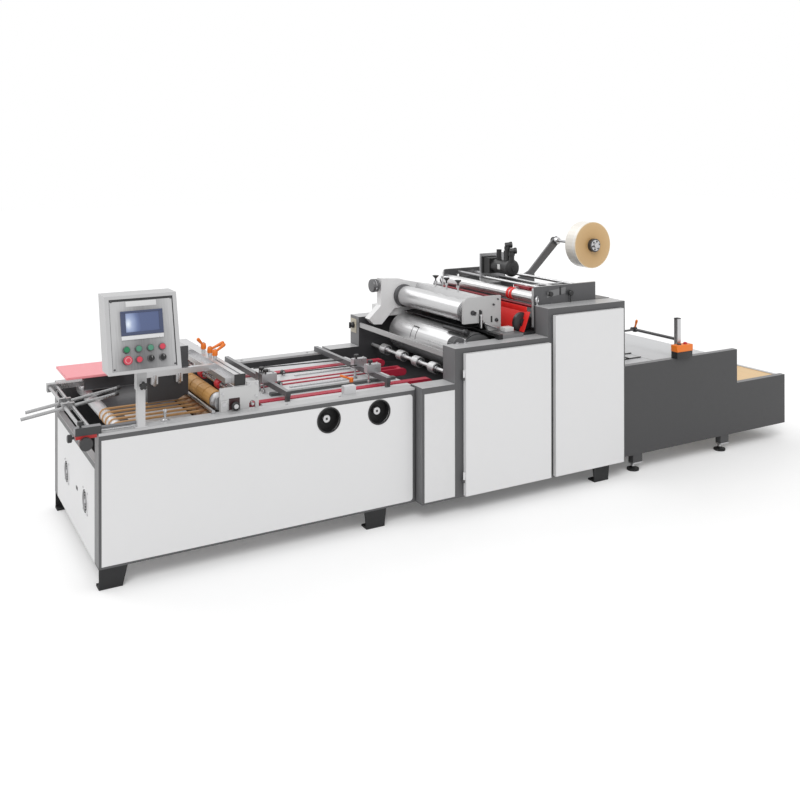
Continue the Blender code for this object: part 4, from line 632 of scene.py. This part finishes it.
def plate_outline(x, y, z):
    """Three sides of a rectangle on the drum's face, 6 mm wide and open below."""
    rise = z - drum_z
    outer = y.within(0.088, 0.156) * rise.within(0.012, 0.086)
    inner = y.within(0.0945, 0.1495) * (rise < 0.080)
    return outer * (1 - inner) * (x < drum_x)


dress(layered("drum_chrome", chrome, lambda x, y, z: [
    (y.within(-0.4195, -0.275), ((0.42, 0.42, 0.425), 0.36, 0.7)), (y < -0.4195, dark_steel),
    ((x - drum_x).around(z - drum_z) < 0.029, bare_steel), (plate_outline(x, y, z), black_and_painted_shade)],
    varied=0.05, grain=(3, 0.2, 3), fine=9, peel=0.000002, scuffed=0.05), "plate_drum")
dress(layered("glue_roller_chrome", chrome, lambda x, y, z: [
    ((y < -0.308).either(y > 0.400), ((0.22, 0.22, 0.225), 0.4, 0.7)), (y < -0.3295, dark_steel)],
    varied=0.05, grain=(3, 0.2, 3), fine=9, peel=0.000002, scuffed=0.05), "glue_roller")
dress(layered("nip_steel", ((0.74, 0.74, 0.745), 0.30, 0.6), varied=0.05, grain=(2, 0.3, 2),
              fine=12, peel=0.00001, scuffed=0.1), "nip_shaft")
for number, plane in enumerate((-0.255, -0.065, 0.125, 0.340), 1):
    for end in (-1, 1):
        lathe(f"nip_wheel_collar_{number}_{end + 1}",
              [(30, 0), (28.5, 2), (17, 2.5), (16, 10), (14, 11)],
              (nip_x, plane + end * 0.0298, nip_z), (0, end, 0), bright_steel, "nip", sides=28)
lathe("drum_end_flange", [(116, 0), (116, 6), (50, 8), (48, 18), (34, 20)],
      (drum_x, -0.4195, drum_z), near,
      layered("flange_grey", ((0.26, 0.26, 0.265), 0.4, 0.5), varied=0.10), "drum", sides=48)
lathe("glue_roller_collar", [(64, 0), (64, 6), (40, 10), (30, 22)], (drum_x, -0.3295, glue_z),
      near, bright_steel, "gluing", sides=40)

# Near roller bracket: a ground steel plate bolted to the housing's top, with a white block
# and a black bearing casting beside it. Slots and set screws adjust the roller.
bracket_steel = layered("bracket_steel", ((0.56, 0.56, 0.56), 0.42, 0.35), lambda x, y, z: [
    (z < 0.9345, ((0.26, 0.26, 0.265), 0.4, 0.5))], varied=0.12, fine=50, peel=0.0003)
dress(bracket_steel, "roller_bracket_front")
tinted_steel = layered("blackened_steel", ((0.085, 0.085, 0.09), 0.35, 0.6), varied=0.1)
for number, (place, height, radius) in enumerate(((-0.015, 1.051, 15), (0.155, 0.996, 12),
                                                  (0.134, 1.089, 7), (0.165, 1.120, 5),
                                                  (0.048, 0.998, 7.5)), 1):
    lathe(f"roller_bracket_bolt_{number}",
          [(radius, 0), (radius, 3), (radius * 0.7, 3.5), (radius * 0.7, 11),
           (radius * 0.45, 12.5), (radius * 0.4, 8)], (place, -0.3995, height), near, tinted_steel,
          sides=24)
# Both slots are black boxes, painted shade in the openings.
box("roller_bracket_slot_1", (0.030, -0.4012, 0.965), (0.043, -0.398, 1.066), black_plastic, 0.003)
box("roller_bracket_slot_2", (0.114, -0.4012, 0.985), (0.126, -0.398, 1.023), black_plastic, 0.003)
lathe("adjusting_screw", [(5.5, 0), (5.5, 70), (10, 71), (10, 81)], (0.0365, -0.414, 0.960), up,
      bright_steel, sides=18)
lathe("adjusting_link", [(6, 0), (6, 110)], (0.060, -0.412, 0.985), (0.090, 0, -0.035),
      bright_steel, sides=16)
box("sensor_block", (0.164, -0.478, 0.9335), (0.226, -0.425, 0.9590),
    layered("sensor_white", ((0.70, 0.70, 0.70), 0.4, 0.0)), 0.002)
bearing_black = layered("bearing_black", ((0.025, 0.025, 0.027), 0.35, 0.1), varied=0.12)
lathe("bearing_casting", [(58, 0), (62, 4), (62, 26), (50, 32), (26, 33), (24, 44)],
      (0.300, -0.440, 0.9755), near, bearing_black, sides=40)
box("bearing_casting_foot", (0.237, -0.520, 0.9135), (0.353, -0.445, 0.930), bearing_black, 0.004)
for number, place in enumerate((-0.212, -0.162), 1):
    lathe(f"housing_bolt_{number}", [(13.5, 0), (13.5, 3), (9, 3.5), (9, 9), (6, 10)],
          (place, -0.536, 0.9129), up, bright_steel, sides=24)

# Rear roller arm: a pale casting with a rounded back, over the far end of the rollers.
# Its heel carries the adjuster, a grey turned drum with a bright ring.
dress(layered("arm_casting", ((0.84, 0.84, 0.84), 0.42, 0.0), varied=0.06, fine=45, peel=0.0005),
      "roller_bracket_rear")
adjuster_grey = layered("adjuster_grey", ((0.16, 0.16, 0.165), 0.36, 0.4), varied=0.1)
adjuster_y, adjuster_z = 0.470, 1.120
lathe("arm_adjuster", [(18, 0), (18, 12), (40, 14), (43, 19), (43, 30), (38, 32), (38, 38),
                       (44, 40), (44, 54), (40, 59), (20, 60)],
      (-0.1705, adjuster_y, adjuster_z), back, adjuster_grey, sides=40)
lathe("arm_adjuster_ring", [(38.2, 0), (40, 1), (40, 5), (38.2, 6)],
      (-0.2025, adjuster_y, adjuster_z), back, bright_steel, sides=40)
lathe("rear_bearing_cover", [(70, 0), (74, 4), (74, 18), (66, 24)],
      (drum_x - 0.006, 0.4405, glue_z), near,
      layered("cover_grey", ((0.11, 0.11, 0.115), 0.4, 0.5), varied=0.1), sides=44)

# Press cross bar of flat steel and a black rail under the roller brackets, between the
# housings. A rotary switch with a beige plate sits on a step of the far housing.
dress(layered("flat_bar_steel", ((0.50, 0.50, 0.50), 0.35, 0.35), varied=0.10, grain=(1, 0.06, 1),
              fine=80), "press_cross_bar")
dress(layered("cross_rail_black", ((0.022, 0.022, 0.024), 0.35, 0.3), varied=0.12),
      "roller_cross_rail")
box("selector_plate", (-0.2985, 0.553, 0.800), (-0.2955, 0.631, 0.893),
    layered("plate_beige", ((0.50, 0.46, 0.36), 0.45, 0.0)), 0.0015)
lathe("selector_knob", [(20, 0), (20, 10), (15, 14), (13, 24)], (-0.2980, 0.592, 0.850), back,
      black_plastic, sides=28)
box("selector_handle", (-0.3300, 0.587, 0.830), (-0.3200, 0.597, 0.870), black_plastic, 0.002)

# Glue tray: stained steel behind the gluing roller, with three black wing screws. Two thin
# near-black sheets, one under the roller and one upright behind it, are painted shade.
dress(layered("tray_steel", ((0.72, 0.72, 0.725), 0.36, 0.5), lambda x, y, z: [
    (z < 1.035, dark_steel)], varied=0.2, fine=18), "glue_tray")
wing_x = 0.142
for number, plane in enumerate((0.263, 0.131, -0.005), 1):
    lathe(f"wing_screw_{number}", [(4.5, 0), (5, 14), (13, 23), (21, 31), (21, 35), (12, 36)],
          (wing_x, plane, 1.1525), up, black_plastic, sides=20)
    lathe(f"wing_screw_nut_{number}", [(12, 0), (12, 14), (5, 15)], (wing_x, plane, 1.1385), up,
          bright_steel, sides=6)
    ring(f"wing_screw_collar_{number}", 0.0066, 0.0115, 0.018, (wing_x, plane, 1.092), up,
         black_plastic, sides=24)
# Two near-black sheets of painted shade: one upright behind the roller, one under it.
painted_shade_sheet = layered("painted_shade_sheet_finish", ((0.030, 0.030, 0.032), 0.45, 0.1), varied=0.1)
box("shade_sheet_upright", (0.172, -0.372, 0.800), (0.175, 0.430, 1.022), painted_shade_sheet, 0.001)
box("shade_sheet_under_roller", (-0.020, -0.330, 0.9500), (0.150, 0.400, 0.9530), painted_shade_sheet, 0.001)

# Locking lever: a rounded black casting that lies over the drum's near end.
# It turns on a stepped pivot, bolted through it.
box("locking_lever", (-0.086, -0.392, 0.9300), (-0.044, -0.175, 0.9540), bearing_black, 0.010)
lathe("locking_lever_pivot", [(20, 0), (20, 20), (14, 24), (12, 36)], (-0.065, -0.388, 0.9400),
      near, bearing_black, sides=28)

# Film apron: bright red sheet that leads the film down from the film unit.
# Its upper edge is folded up between the side plates.
scarlet = ((0.82, 0.022, 0.018), 0.42, 0.0)
dress(layered("apron_red", scarlet, varied=0.08, grain=(1, 0.4, 4), fine=14), "film_apron")
box("film_apron_fold", (0.3135, -0.486, 1.0400), (0.3175, 0.486, 1.0720),
    layered("fold_red", scarlet, varied=0.08), 0.0008)

# Film unit: ground side plates with slots and knobs, and steel rollers between them.
# Red rubber rings sit on the front roller, over a dark red bar.
# The plates' left end face and top are painted pale as painted light.
dress(layered("film_plate_steel", ((0.135, 0.135, 0.14), 0.4, 0.4), lambda x, y, z: [
    (x.within(0.455, 0.600) * (z - (x - 0.455) * 0.12).within(1.118, 1.156),
     ((0.26, 0.26, 0.265), 0.34, 0.4)),
    ((x < 0.353).either(z > 1.1885), ((0.62, 0.62, 0.62), 0.34, 0.3))], varied=0.22,
    grain=(1, 1, 0.25), fine=26), "film_plate_front", "film_plate_rear")
dress(layered("film_roller_steel", ((0.70, 0.70, 0.705), 0.28, 0.8), lambda x, y, z: [
    ((x > 0.44) * (y < 0.19) * (z < 1.160), ((0.17, 0.17, 0.175), 0.4, 0.8)),
    ((z > 1.155) * (y > 0.19), ((0.40, 0.40, 0.41), 0.4, 0.6))], varied=0.06, grain=(2, 0.3, 2),
    fine=12, peel=0.000002, scuffed=0.06), "film_rollers")
red_rubber = layered("ring_red", scarlet, varied=0.06)
for number, plane in enumerate((-0.250, -0.282), 1):
    ring(f"film_roller_ring_{number}", 0.0345, 0.0380, 0.019, (0.378, plane - 0.0095, 1.120), far,
         red_rubber, sides=44)
dark_red = layered("bar_dark_red", ((0.26, 0.010, 0.020), 0.36, 0.2), varied=0.1)
lathe("film_guide_bar", [(10, 0), (10, 980)], (0.352, -0.4905, 1.073), far, dark_red, sides=24)
box("film_guide_strip", (0.398, -0.400, 1.155), (0.418, -0.245, 1.172), dark_red, 0.003)
for number, plane in enumerate((-0.260, -0.330, -0.390), 1):
    lathe(f"film_strip_roller_{number}", [(10, -26), (21, -23), (21, 23), (10, 26)],
          (0.430, plane, 1.150), far, dark_red, sides=24)
for number, (place, height, radius) in enumerate(((0.473, 1.141, 15), (0.629, 1.136, 17.5)), 1):
    lathe(f"film_plate_knob_{number}",
          [(radius * 0.6, 0), (radius * 0.6, 6), (radius, 8), (radius, 20), (radius * 0.8, 24)],
          (place, -0.5037, height), near, black_plastic, sides=28)
box("film_plate_slot_cap", (0.551, -0.5052, 1.128), (0.563, -0.502, 1.178), black_plastic, 0.003)
lathe("film_knob_stem", [(3.5, 0), (3.5, 56)], (0.629, -0.514, 1.081), up, black_plastic, sides=12)
eyebolt_x = 0.374
for number, plane in enumerate((-0.511, 0.560), 1):
    lathe(f"eyebolt_stem_{number}", [(11, 0), (11, 4), (5.5, 5), (5.5, 12)],
          (eyebolt_x, plane, 1.079), up, bright_steel, sides=20)
    bpy.ops.object.select_all(action='DESELECT')
    bpy.ops.mesh.primitive_torus_add(major_radius=0.0190, minor_radius=0.0058,
                                     major_segments=36, minor_segments=14,
                                     location=(eyebolt_x, plane, 1.112),
                                     rotation=(math.radians(90), 0, math.radians(35)))
    bpy.ops.object.shade_smooth()
    settle(f"eyebolt_ring_{number}", bright_steel)

# Film drive motor: black, ribbed behind, with a turned end bell and a bare white label.
# Two stepped elbow plugs stand on it, and four screws hold its flange.
dress(layered("motor_black", ((0.018, 0.018, 0.019), 0.40, 0.1), lambda x, y, z: [
    ((y > 0.10) * (z < 1.31) * y.wave(0.016).within(0.0, 0.3), ((0.012, 0.012, 0.012), 0.6, 0.0))],
    varied=0.12), "film_motor")
motor_x, motor_z = 0.516, 1.246
lathe("motor_end_bell", [(48, 0), (55, 4), (55, 20), (47, 26), (44, 26), (40, 34), (18, 36),
                         (16, 42)], (motor_x, -0.0525, motor_z), near, black_plastic, sides=40)
for number, (plane, rise) in enumerate(((-0.020, 1392), (-0.068, 1358)), 1):
    lathe(f"motor_plug_stem_{number}",
          [(19, 1278), (19, 1300), (16.5, 1302), (16.5, rise - 32), (20.5, rise - 30),
           (20.5, rise - 10), (16.5, rise - 8), (16.5, rise + 4), (11, rise + 12)],
          (motor_x, plane, 0), up, black_plastic, sides=28)
    lathe(f"motor_plug_elbow_{number}",
          [(16.5, -16), (17.5, 14), (20.5, 16), (20.5, 30), (16, 33)],
          (motor_x, plane, rise / 1000), (0.6, -0.35, 0.05), black_plastic, sides=28)
box("motor_label", (motor_x - 0.0475, 0.000, motor_z - 0.012),
    (motor_x - 0.0440, 0.026, motor_z + 0.020),
    layered("label_white", ((0.70, 0.70, 0.70), 0.4, 0.0)), 0.0008)
for sign_x in (-1, 1):
    for sign_z in (-1, 1):
        lathe(f"motor_flange_screw_{sign_x + 1}{sign_z + 1}", [(6, 0), (6, 6), (3.5, 7)],
              (motor_x + sign_x * 0.044, 0.1815, motor_z + sign_z * 0.044), near, bright_steel,
              sides=14)

# Reel arm: a dark painted steel plate that carries the bright axle of the reel.
# A clamp ring and a black knob hold the axle at its end.
dress(layered("arm_paint", ((0.12, 0.12, 0.125), 0.4, 0.2), lambda x, y, z: [
    (y < 0.2495, ((0.40, 0.40, 0.41), 0.3, 1.0)), (z < 1.0825, mid_coat)], varied=0.08),
    "reel_arm")
reel_x, reel_side, reel_z = 1.142, -0.1465, 1.370
lathe("arm_clamp_ring", [(22, 0), (25, 3), (25, 22), (21, 26)], (reel_x, 0.2495, reel_z), near,
      bright_steel, sides=36)
lathe("arm_end_knob", [(14, 0), (24, 4), (24, 18), (18, 22)], (reel_x, 0.2665, reel_z), far,
      black_plastic, sides=30)

# Reel of window film: clear film wound tight, amber from the side and pale at the rim.
# Its layers show as faint rings, and a steel chuck with six holes grips the core.
def from_axle(x, z):
    """How far a point lies from the reel's axle."""
    return (x - reel_x).around(z - reel_z)


amber = ((0.60, 0.375, 0.155), 0.32, 0.0)
dress(layered("wound_film", amber, lambda x, y, z: [
    (from_axle(x, z).wave(0.011).within(0.0, 0.35), ((0.565, 0.345, 0.135), 0.34, 0.0)),
    (from_axle(x, z) * 7 - 0.40, ((0.72, 0.50, 0.26), 0.28, 0.0)),
    (from_axle(x, z) > 0.152, ((0.84, 0.70, 0.50), 0.25, 0.0)),
    ((from_axle(x, z) > 0.1545) * y.within(-0.1345, -0.0355), ((0.90, 0.86, 0.79), 0.16, 0.0)),
    # A thin near-white band across the rim is a painted highlight.
    ((from_axle(x, z) > 0.1545) * y.within(-0.118, -0.112), ((0.98, 0.97, 0.95), 0.12, 0.0)),
    (from_axle(x, z) < 0.0425, ((0.20, 0.14, 0.08), 0.5, 0.0))], varied=0.05, peel=0.0001,
    gloss=0.6), "film_reel")
lathe("reel_chuck", [(44.5, -11.5), (44.5, 14), (39, 18), (30, 18)], (reel_x, reel_side, reel_z),
      near, tinted_steel, "reel", sides=48)
lathe("reel_chuck_face", [(37.5, 17.5), (36, 20), (19, 20.5), (17.5, 30), (12, 33)],
      (reel_x, reel_side, reel_z), near, bright_steel, "reel", sides=48)
hole_circle = 0.0275
# Each hole is a thin black disc, painted shade in the hole.
for number in range(6):
    spoke = math.radians(60 * number + 12)
    lathe(f"reel_chuck_hole_{number + 1}", [(6.6, 0), (6.6, 0.9)],
          (reel_x + hole_circle * math.cos(spoke), -0.1666,
           reel_z + hole_circle * math.sin(spoke)), near, black_plastic, "reel", sides=18)

# Delivery belt: pale grey belting with one dark seam, on a sheet bed.
# Thin black rods lie on it, and the bed's edge strips are bright.
dress(layered("delivery_belting", ((0.62, 0.625, 0.635), 0.5, 0.0), lambda x, y, z: [
    ((z > 0.6475) * x.within(1.31, 1.316), ((0.25, 0.25, 0.25), 0.6, 0)),
    (abs(y) > 0.560, ((0.40, 0.40, 0.41), 0.35, 0.7))], varied=0.07, grain=(0.4, 4, 1), fine=20),
    "delivery_belt")
for number, (start, length, plane) in enumerate(((1.000, 330, -0.300), (1.090, 210, -0.420)), 1):
    lathe(f"belt_rod_{number}", [(4, 0), (4, length)], (start, plane, 0.6525), ahead,
          black_plastic, sides=12)
lathe("belt_rod_cross", [(4, 0), (4, 180)], (1.180, -0.440, 0.6595), far, black_plastic, sides=12)

# Catch table: birch plywood with a sealed top and visible plies at its edges.
# Pale grey edging is fixed along three sides.
dress(layered("birch_ply", ((0.82, 0.56, 0.28), 0.45, 0.0), lambda x, y, z: [
    (x.wave(0.11).within(0.0, 0.03) * (z > 0.4295), ((0.70, 0.48, 0.25), 0.5, 0.0)),
    (z < 0.4285, ((0.50, 0.36, 0.20), 0.6, 0.0))], varied=0.10, grain=(0.25, 4, 1), fine=22,
    peel=0.0003), "catch_table")
edging = layered("edging_grey", ((0.55, 0.55, 0.56), 0.4, 0.2))
for side, word in ((-1, "near"), (1, "far")):
    low, high = sorted((side * 0.5868, side * 0.560))
    box("catch_edging_" + word, (1.800, low, 0.4302), (2.4575, high, 0.4345), edging, 0.0015)
box("catch_edging_end", (2.430, -0.5595, 0.4302), (2.4575, 0.5595, 0.4345), edging, 0.0015)

# Delivery guide: an aluminium post with slots, dark rods and orange clamp levers.
# Beside the post stands the push-button box: orange lid, black base, red button.
dress(layered("guide_alloy", alloy, lambda x, y, z: [
    (y < -0.6003, black_and_painted_shade), ((y < -0.6003) * (z > 0.712), orange_coat),
    (y > -0.5695, ((0.12, 0.12, 0.125), 0.35, 0.7)),
    (y.within(-0.5885, -0.5815) * (z > 0.7), ((0.2, 0.2, 0.2), 0.4, 0.5))], varied=0.07,
    grain=(1, 1, 0.06), fine=80), "delivery_guide")
box("post_cap", (1.4455, -0.6015, 0.9145), (1.4785, -0.5685, 0.9195), black_plastic, 0.001)
box("button_box_base", (1.3880, -0.6560, 0.6705), (1.5240, -0.6010, 0.7140), black_plastic, 0.003)
box("button_box_lid", (1.3860, -0.6580, 0.7140), (1.5260, -0.6005, 0.7570), orange_plastic, 0.004)
button_y, lid_top = -0.6290, 0.7562
lathe("button_box_button", [(13, 0), (13, 4), (11, 10), (7, 12)], (1.485, button_y, lid_top), up,
      layered("button_red", ((0.55, 0.01, 0.012), 0.35, 0.0)), sides=28)
lathe("button_box_switch", [(14, 0), (14, 4), (10, 9)], (1.430, button_y, lid_top), up,
      black_plastic, sides=28)
box("guide_post_foot", (1.431, -0.612, 0.6702), (1.493, -0.560, 0.6760), black_plastic, 0.0015)
lever_y = -0.200
for number, (place, way) in enumerate(((1.462, (-0.010, -0.030, 0.063)),
                                       (1.280, (-0.045, 0.025, 0.041))), 1):
    lathe(f"guide_lever_hub_{number}", [(14, -14), (15.5, -10), (15.5, 12), (11, 18)],
          (place, lever_y, 0.780), up, black_plastic, sides=24)
    lathe(f"guide_lever_{number}", [(7, 0), (6, 20), (9, 52), (7, 62)], (place, lever_y, 0.794),
          way, orange_plastic, sides=18)
lathe("guide_rod_end", [(10.5, 0), (13, 2), (13, 20), (9, 24)], (1.462, -0.186, 0.780), far,
      black_plastic, sides=24)

# Panel post: a square tube, painted light grey, on a foot plate on the near wall.
# A star knob with five lobes sits on the collar that turns with the panel, and clamps it.
post_x, post_y, knob_z = -1.993, -0.558, 0.9163
post_grey = ((0.56, 0.56, 0.565), 0.38, 0.1)
dress(layered("post_paint", post_grey, lambda x, y, z: [
    (z > 0.8905, bare_steel)], varied=0.04), "panel_post")
dress(layered("cabinet_paint", ((0.50, 0.50, 0.505), 0.38, 0.0), varied=0.025), "operator_panel")
box("post_foot", (post_x - 0.029, post_y - 0.0185, 0.7143),
    (post_x + 0.029, post_y + 0.030, 0.7190), layered("post_foot_paint", post_grey), 0.001)
for turn in range(5):
    angle = math.radians(72 * turn)
    lathe(f"star_knob_lobe_{turn + 1}", [(6, 0), (7.5, 2), (7.5, 11), (5, 14)],
          (post_x + 0.0125 * math.sin(angle), post_y - 0.0455, knob_z + 0.0125 * math.cos(angle)),
          near, black_plastic, "panel", sides=18)
lathe("star_knob_hub", [(13, 0), (13, 16), (9, 19)], (post_x, post_y - 0.0445, knob_z), near,
      black_plastic, "panel", sides=28)

# Operator panel: a brushed stainless face in a painted cabinet that leans back 15 degrees.
# Its touch screen has a dark blue frame, and the place for words above it is a bare plate.
lean_degrees = 15
lean = math.radians(lean_degrees)
panel_y, panel_z = -0.543, 1.143
face_depth = 0.0673
out_of_face = (0, -math.cos(lean), math.sin(lean))


def face_axes(x, y, z):
    """Places on the face, across and up the slope, from places in the machine."""
    return x - post_x, (y - panel_y) * math.sin(lean) + (z - panel_z) * math.cos(lean)


steel_face, steel_shader, steel_place = new_finish("stainless_face")
steel_x, steel_y, steel_z = steel_place.axes()
steel_across, steel_rise = face_axes(steel_x, steel_y, steel_z)
brushed = steel_place.noise(170, 3, (1, 0.05, 0.05), 0.6)
# The face is painted lighter towards its sides and its top: a painted sheen over the brushed
# streaks.
sheen = abs(steel_across) * 4.2 + steel_rise * 0.9 + steel_place.noise(7, 3, (1, 0.3, 0.3)) * 0.55
brushed_steel_painted_light = steel_place.make("ShaderNodeValToRGB",
                              {"stops": ((0.20, (0.17, 0.17, 0.175)), (0.60, (0.31, 0.31, 0.315)),
                                         (1.0, (0.50, 0.50, 0.505)))},
                              {0: sheen + brushed * 0.4 - 0.12})
low_corner, high_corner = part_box("panel_face")
half_face = (high_corner[0] - low_corner[0]) / 2
# The bands along the face's right, top and left edges are painted shadow from the rim of the
# cabinet's recess.
painted_recess_shadow = (steel_across > half_face - 0.0045).either(
    steel_rise > (high_corner[2] - low_corner[2]) / 2 - 0.0055).either(
    steel_across < 0.0018 - half_face)
brushed_steel_painted_light = painted_recess_shadow.mix(brushed_steel_painted_light, (0.035, 0.035, 0.037))
feed(steel_shader, Base_Color=brushed_steel_painted_light, Roughness=brushed * 0.12 + 0.30, Metallic=0.35)
dress(steel_face, "panel_face")


def panel_box(name, low, high, finish, edge=0.001):
    """A block on the stainless face: corners as (across, rise, how far it stands proud)."""
    face_y = panel_y - face_depth
    return box(name, (post_x + low[0], face_y - high[2], panel_z + low[1]),
               (post_x + high[0], face_y - low[2], panel_z + high[1]), finish, edge,
               "panel", (-lean_degrees, 'X', (post_x, panel_y, panel_z)))


def panel_turned(name, across, rise, steps, finish, sides=28):
    """A turned piece that stands on the stainless face."""
    base = (post_x + across, panel_y - face_depth * math.cos(lean) + rise * math.sin(lean),
            panel_z + face_depth * math.sin(lean) + rise * math.cos(lean))
    return lathe(name, steps, base, out_of_face, finish, "panel", sides)


frame_blue = layered("screen_frame_blue", ((0.055, 0.070, 0.135), 0.3, 0.0), varied=0.04)
glass, glass_shader, glass_place = new_finish("screen_glass")
glass_across, glass_rise = face_axes(*glass_place.axes())
glare = (glass_across + 0.066).around((glass_rise - 0.046) * 0.62) * 15
glare = glare + glass_place.noise(16, 3) * 0.28
soft = glass_place.make("ShaderNodeValToRGB",
                        {"stops": ((0.10, (0.86, 0.93, 1.0)), (0.42, (0.34, 0.41, 0.60)),
                                   (0.80, (0.13, 0.175, 0.33)), (1.0, (0.085, 0.115, 0.23)))},
                        {0: glare})
feed(glass_shader, Base_Color=soft, Roughness=glass_place.noise(40, 2) * 0.1 + 0.3,
     Metallic=0.0)
for part, left, foot, right, top in (("top", -0.100, 0.0955, 0.094, 0.1055),
                                     ("foot", -0.100, -0.0065, 0.094, 0.0085),
                                     ("left", -0.100, 0.0085, -0.0780, 0.0955),
                                     ("right", 0.0760, 0.0085, 0.094, 0.0955)):
    panel_box("screen_frame_" + part, (left, foot, 0), (right, top, 0.0085), frame_blue)
panel_box("touch_screen", (-0.0785, 0.0080, 0.0), (0.0765, 0.0960, 0.0065), glass, 0.0006)
silver_strip = layered("silver_strip", ((0.72, 0.72, 0.73), 0.3, 0.3))
panel_box("screen_strip", (-0.100, -0.0260, 0.0), (0.094, -0.0068, 0.0060), silver_strip)
bare_white = layered("bare_plate_white", ((0.66, 0.66, 0.66), 0.42, 0.0), varied=0.02)
panel_box("upper_plate", (-0.072, 0.1250, 0.0), (0.069, 0.1500, 0.0014), bare_white, 0.0005)
paint = {"green": ((0.015, 0.20, 0.085), 0.3, 0.0), "light_green": ((0.075, 0.26, 0.17), 0.3, 0.0),
         "red": ((0.60, 0.050, 0.085), 0.32, 0.0), "black": ((0.015, 0.015, 0.016), 0.35, 0.0)}
caps = {name: layered("cap_" + name, coat, varied=0.05) for name, coat in paint.items()}
pink_ring = layered("stop_ring_pink", ((0.70, 0.30, 0.32), 0.35, 0.0))
# The bezels are painted darker than their metal, as painted shade round each button.
bezel = layered("button_bezel_painted_shade", ((0.16, 0.16, 0.165), 0.3, 0.5), varied=0.04)
columns = (-0.08175, -0.02725, 0.02725, 0.08175)
for row, (rise, colours) in enumerate(((-0.0695, ("green", "light_green", "light_green", "red")),
                                       (-0.118, (None, "red", "black", "black"))), 1):
    for column, (across, colour) in enumerate(zip(columns, colours), 1):
        tag = f"{row}_{column}"
        if colour is None:
            panel_turned("stop_collar_" + tag, across, rise, [(19.5, 0), (19.5, 14), (15, 16)],
                         caps["black"])
            panel_turned("stop_mushroom_" + tag, across, rise,
                         [(15, 16), (19.6, 19), (20.2, 22), (20.2, 27), (18, 30), (11, 31.5),
                          (4, 32)], caps["red"], 40)
            panel_turned("stop_light_ring_" + tag, across, rise,
                         [(14.2, 30.8), (13.8, 31.6), (10.8, 32.2), (10.4, 31.2)], pink_ring, 40)
            continue
        panel_turned("bezel_" + tag, across, rise,
                     [(16.5, 0), (16.5, 9), (15, 11.5), (13.5, 11.6)], bezel)
        panel_turned("cap_" + tag, across, rise, [(13.3, 9), (13.3, 16.5), (12, 18.2), (6, 18.8)],
                     caps[colour])
        if colour == "black":
            panel_box("selector_bar_" + tag, (across - 0.0035, rise - 0.0125, 0.017),
                      (across + 0.0035, rise + 0.0125, 0.0265), caps["black"], 0.0015)
            panel_box("selector_mark_" + tag, (across - 0.0008, rise + 0.002, 0.0264),
                      (across + 0.0008, rise + 0.011, 0.0268), bare_white, 0)
for sign_across in (-1, 1):
    for sign_rise in (-1, 1):
        panel_turned(f"face_screw_{sign_across + 1}{sign_rise + 1}", sign_across * 0.138,
                     sign_rise * 0.153, [(4.6, 0), (4.6, 1.6), (2.5, 2.6)], tinted_steel, 16)
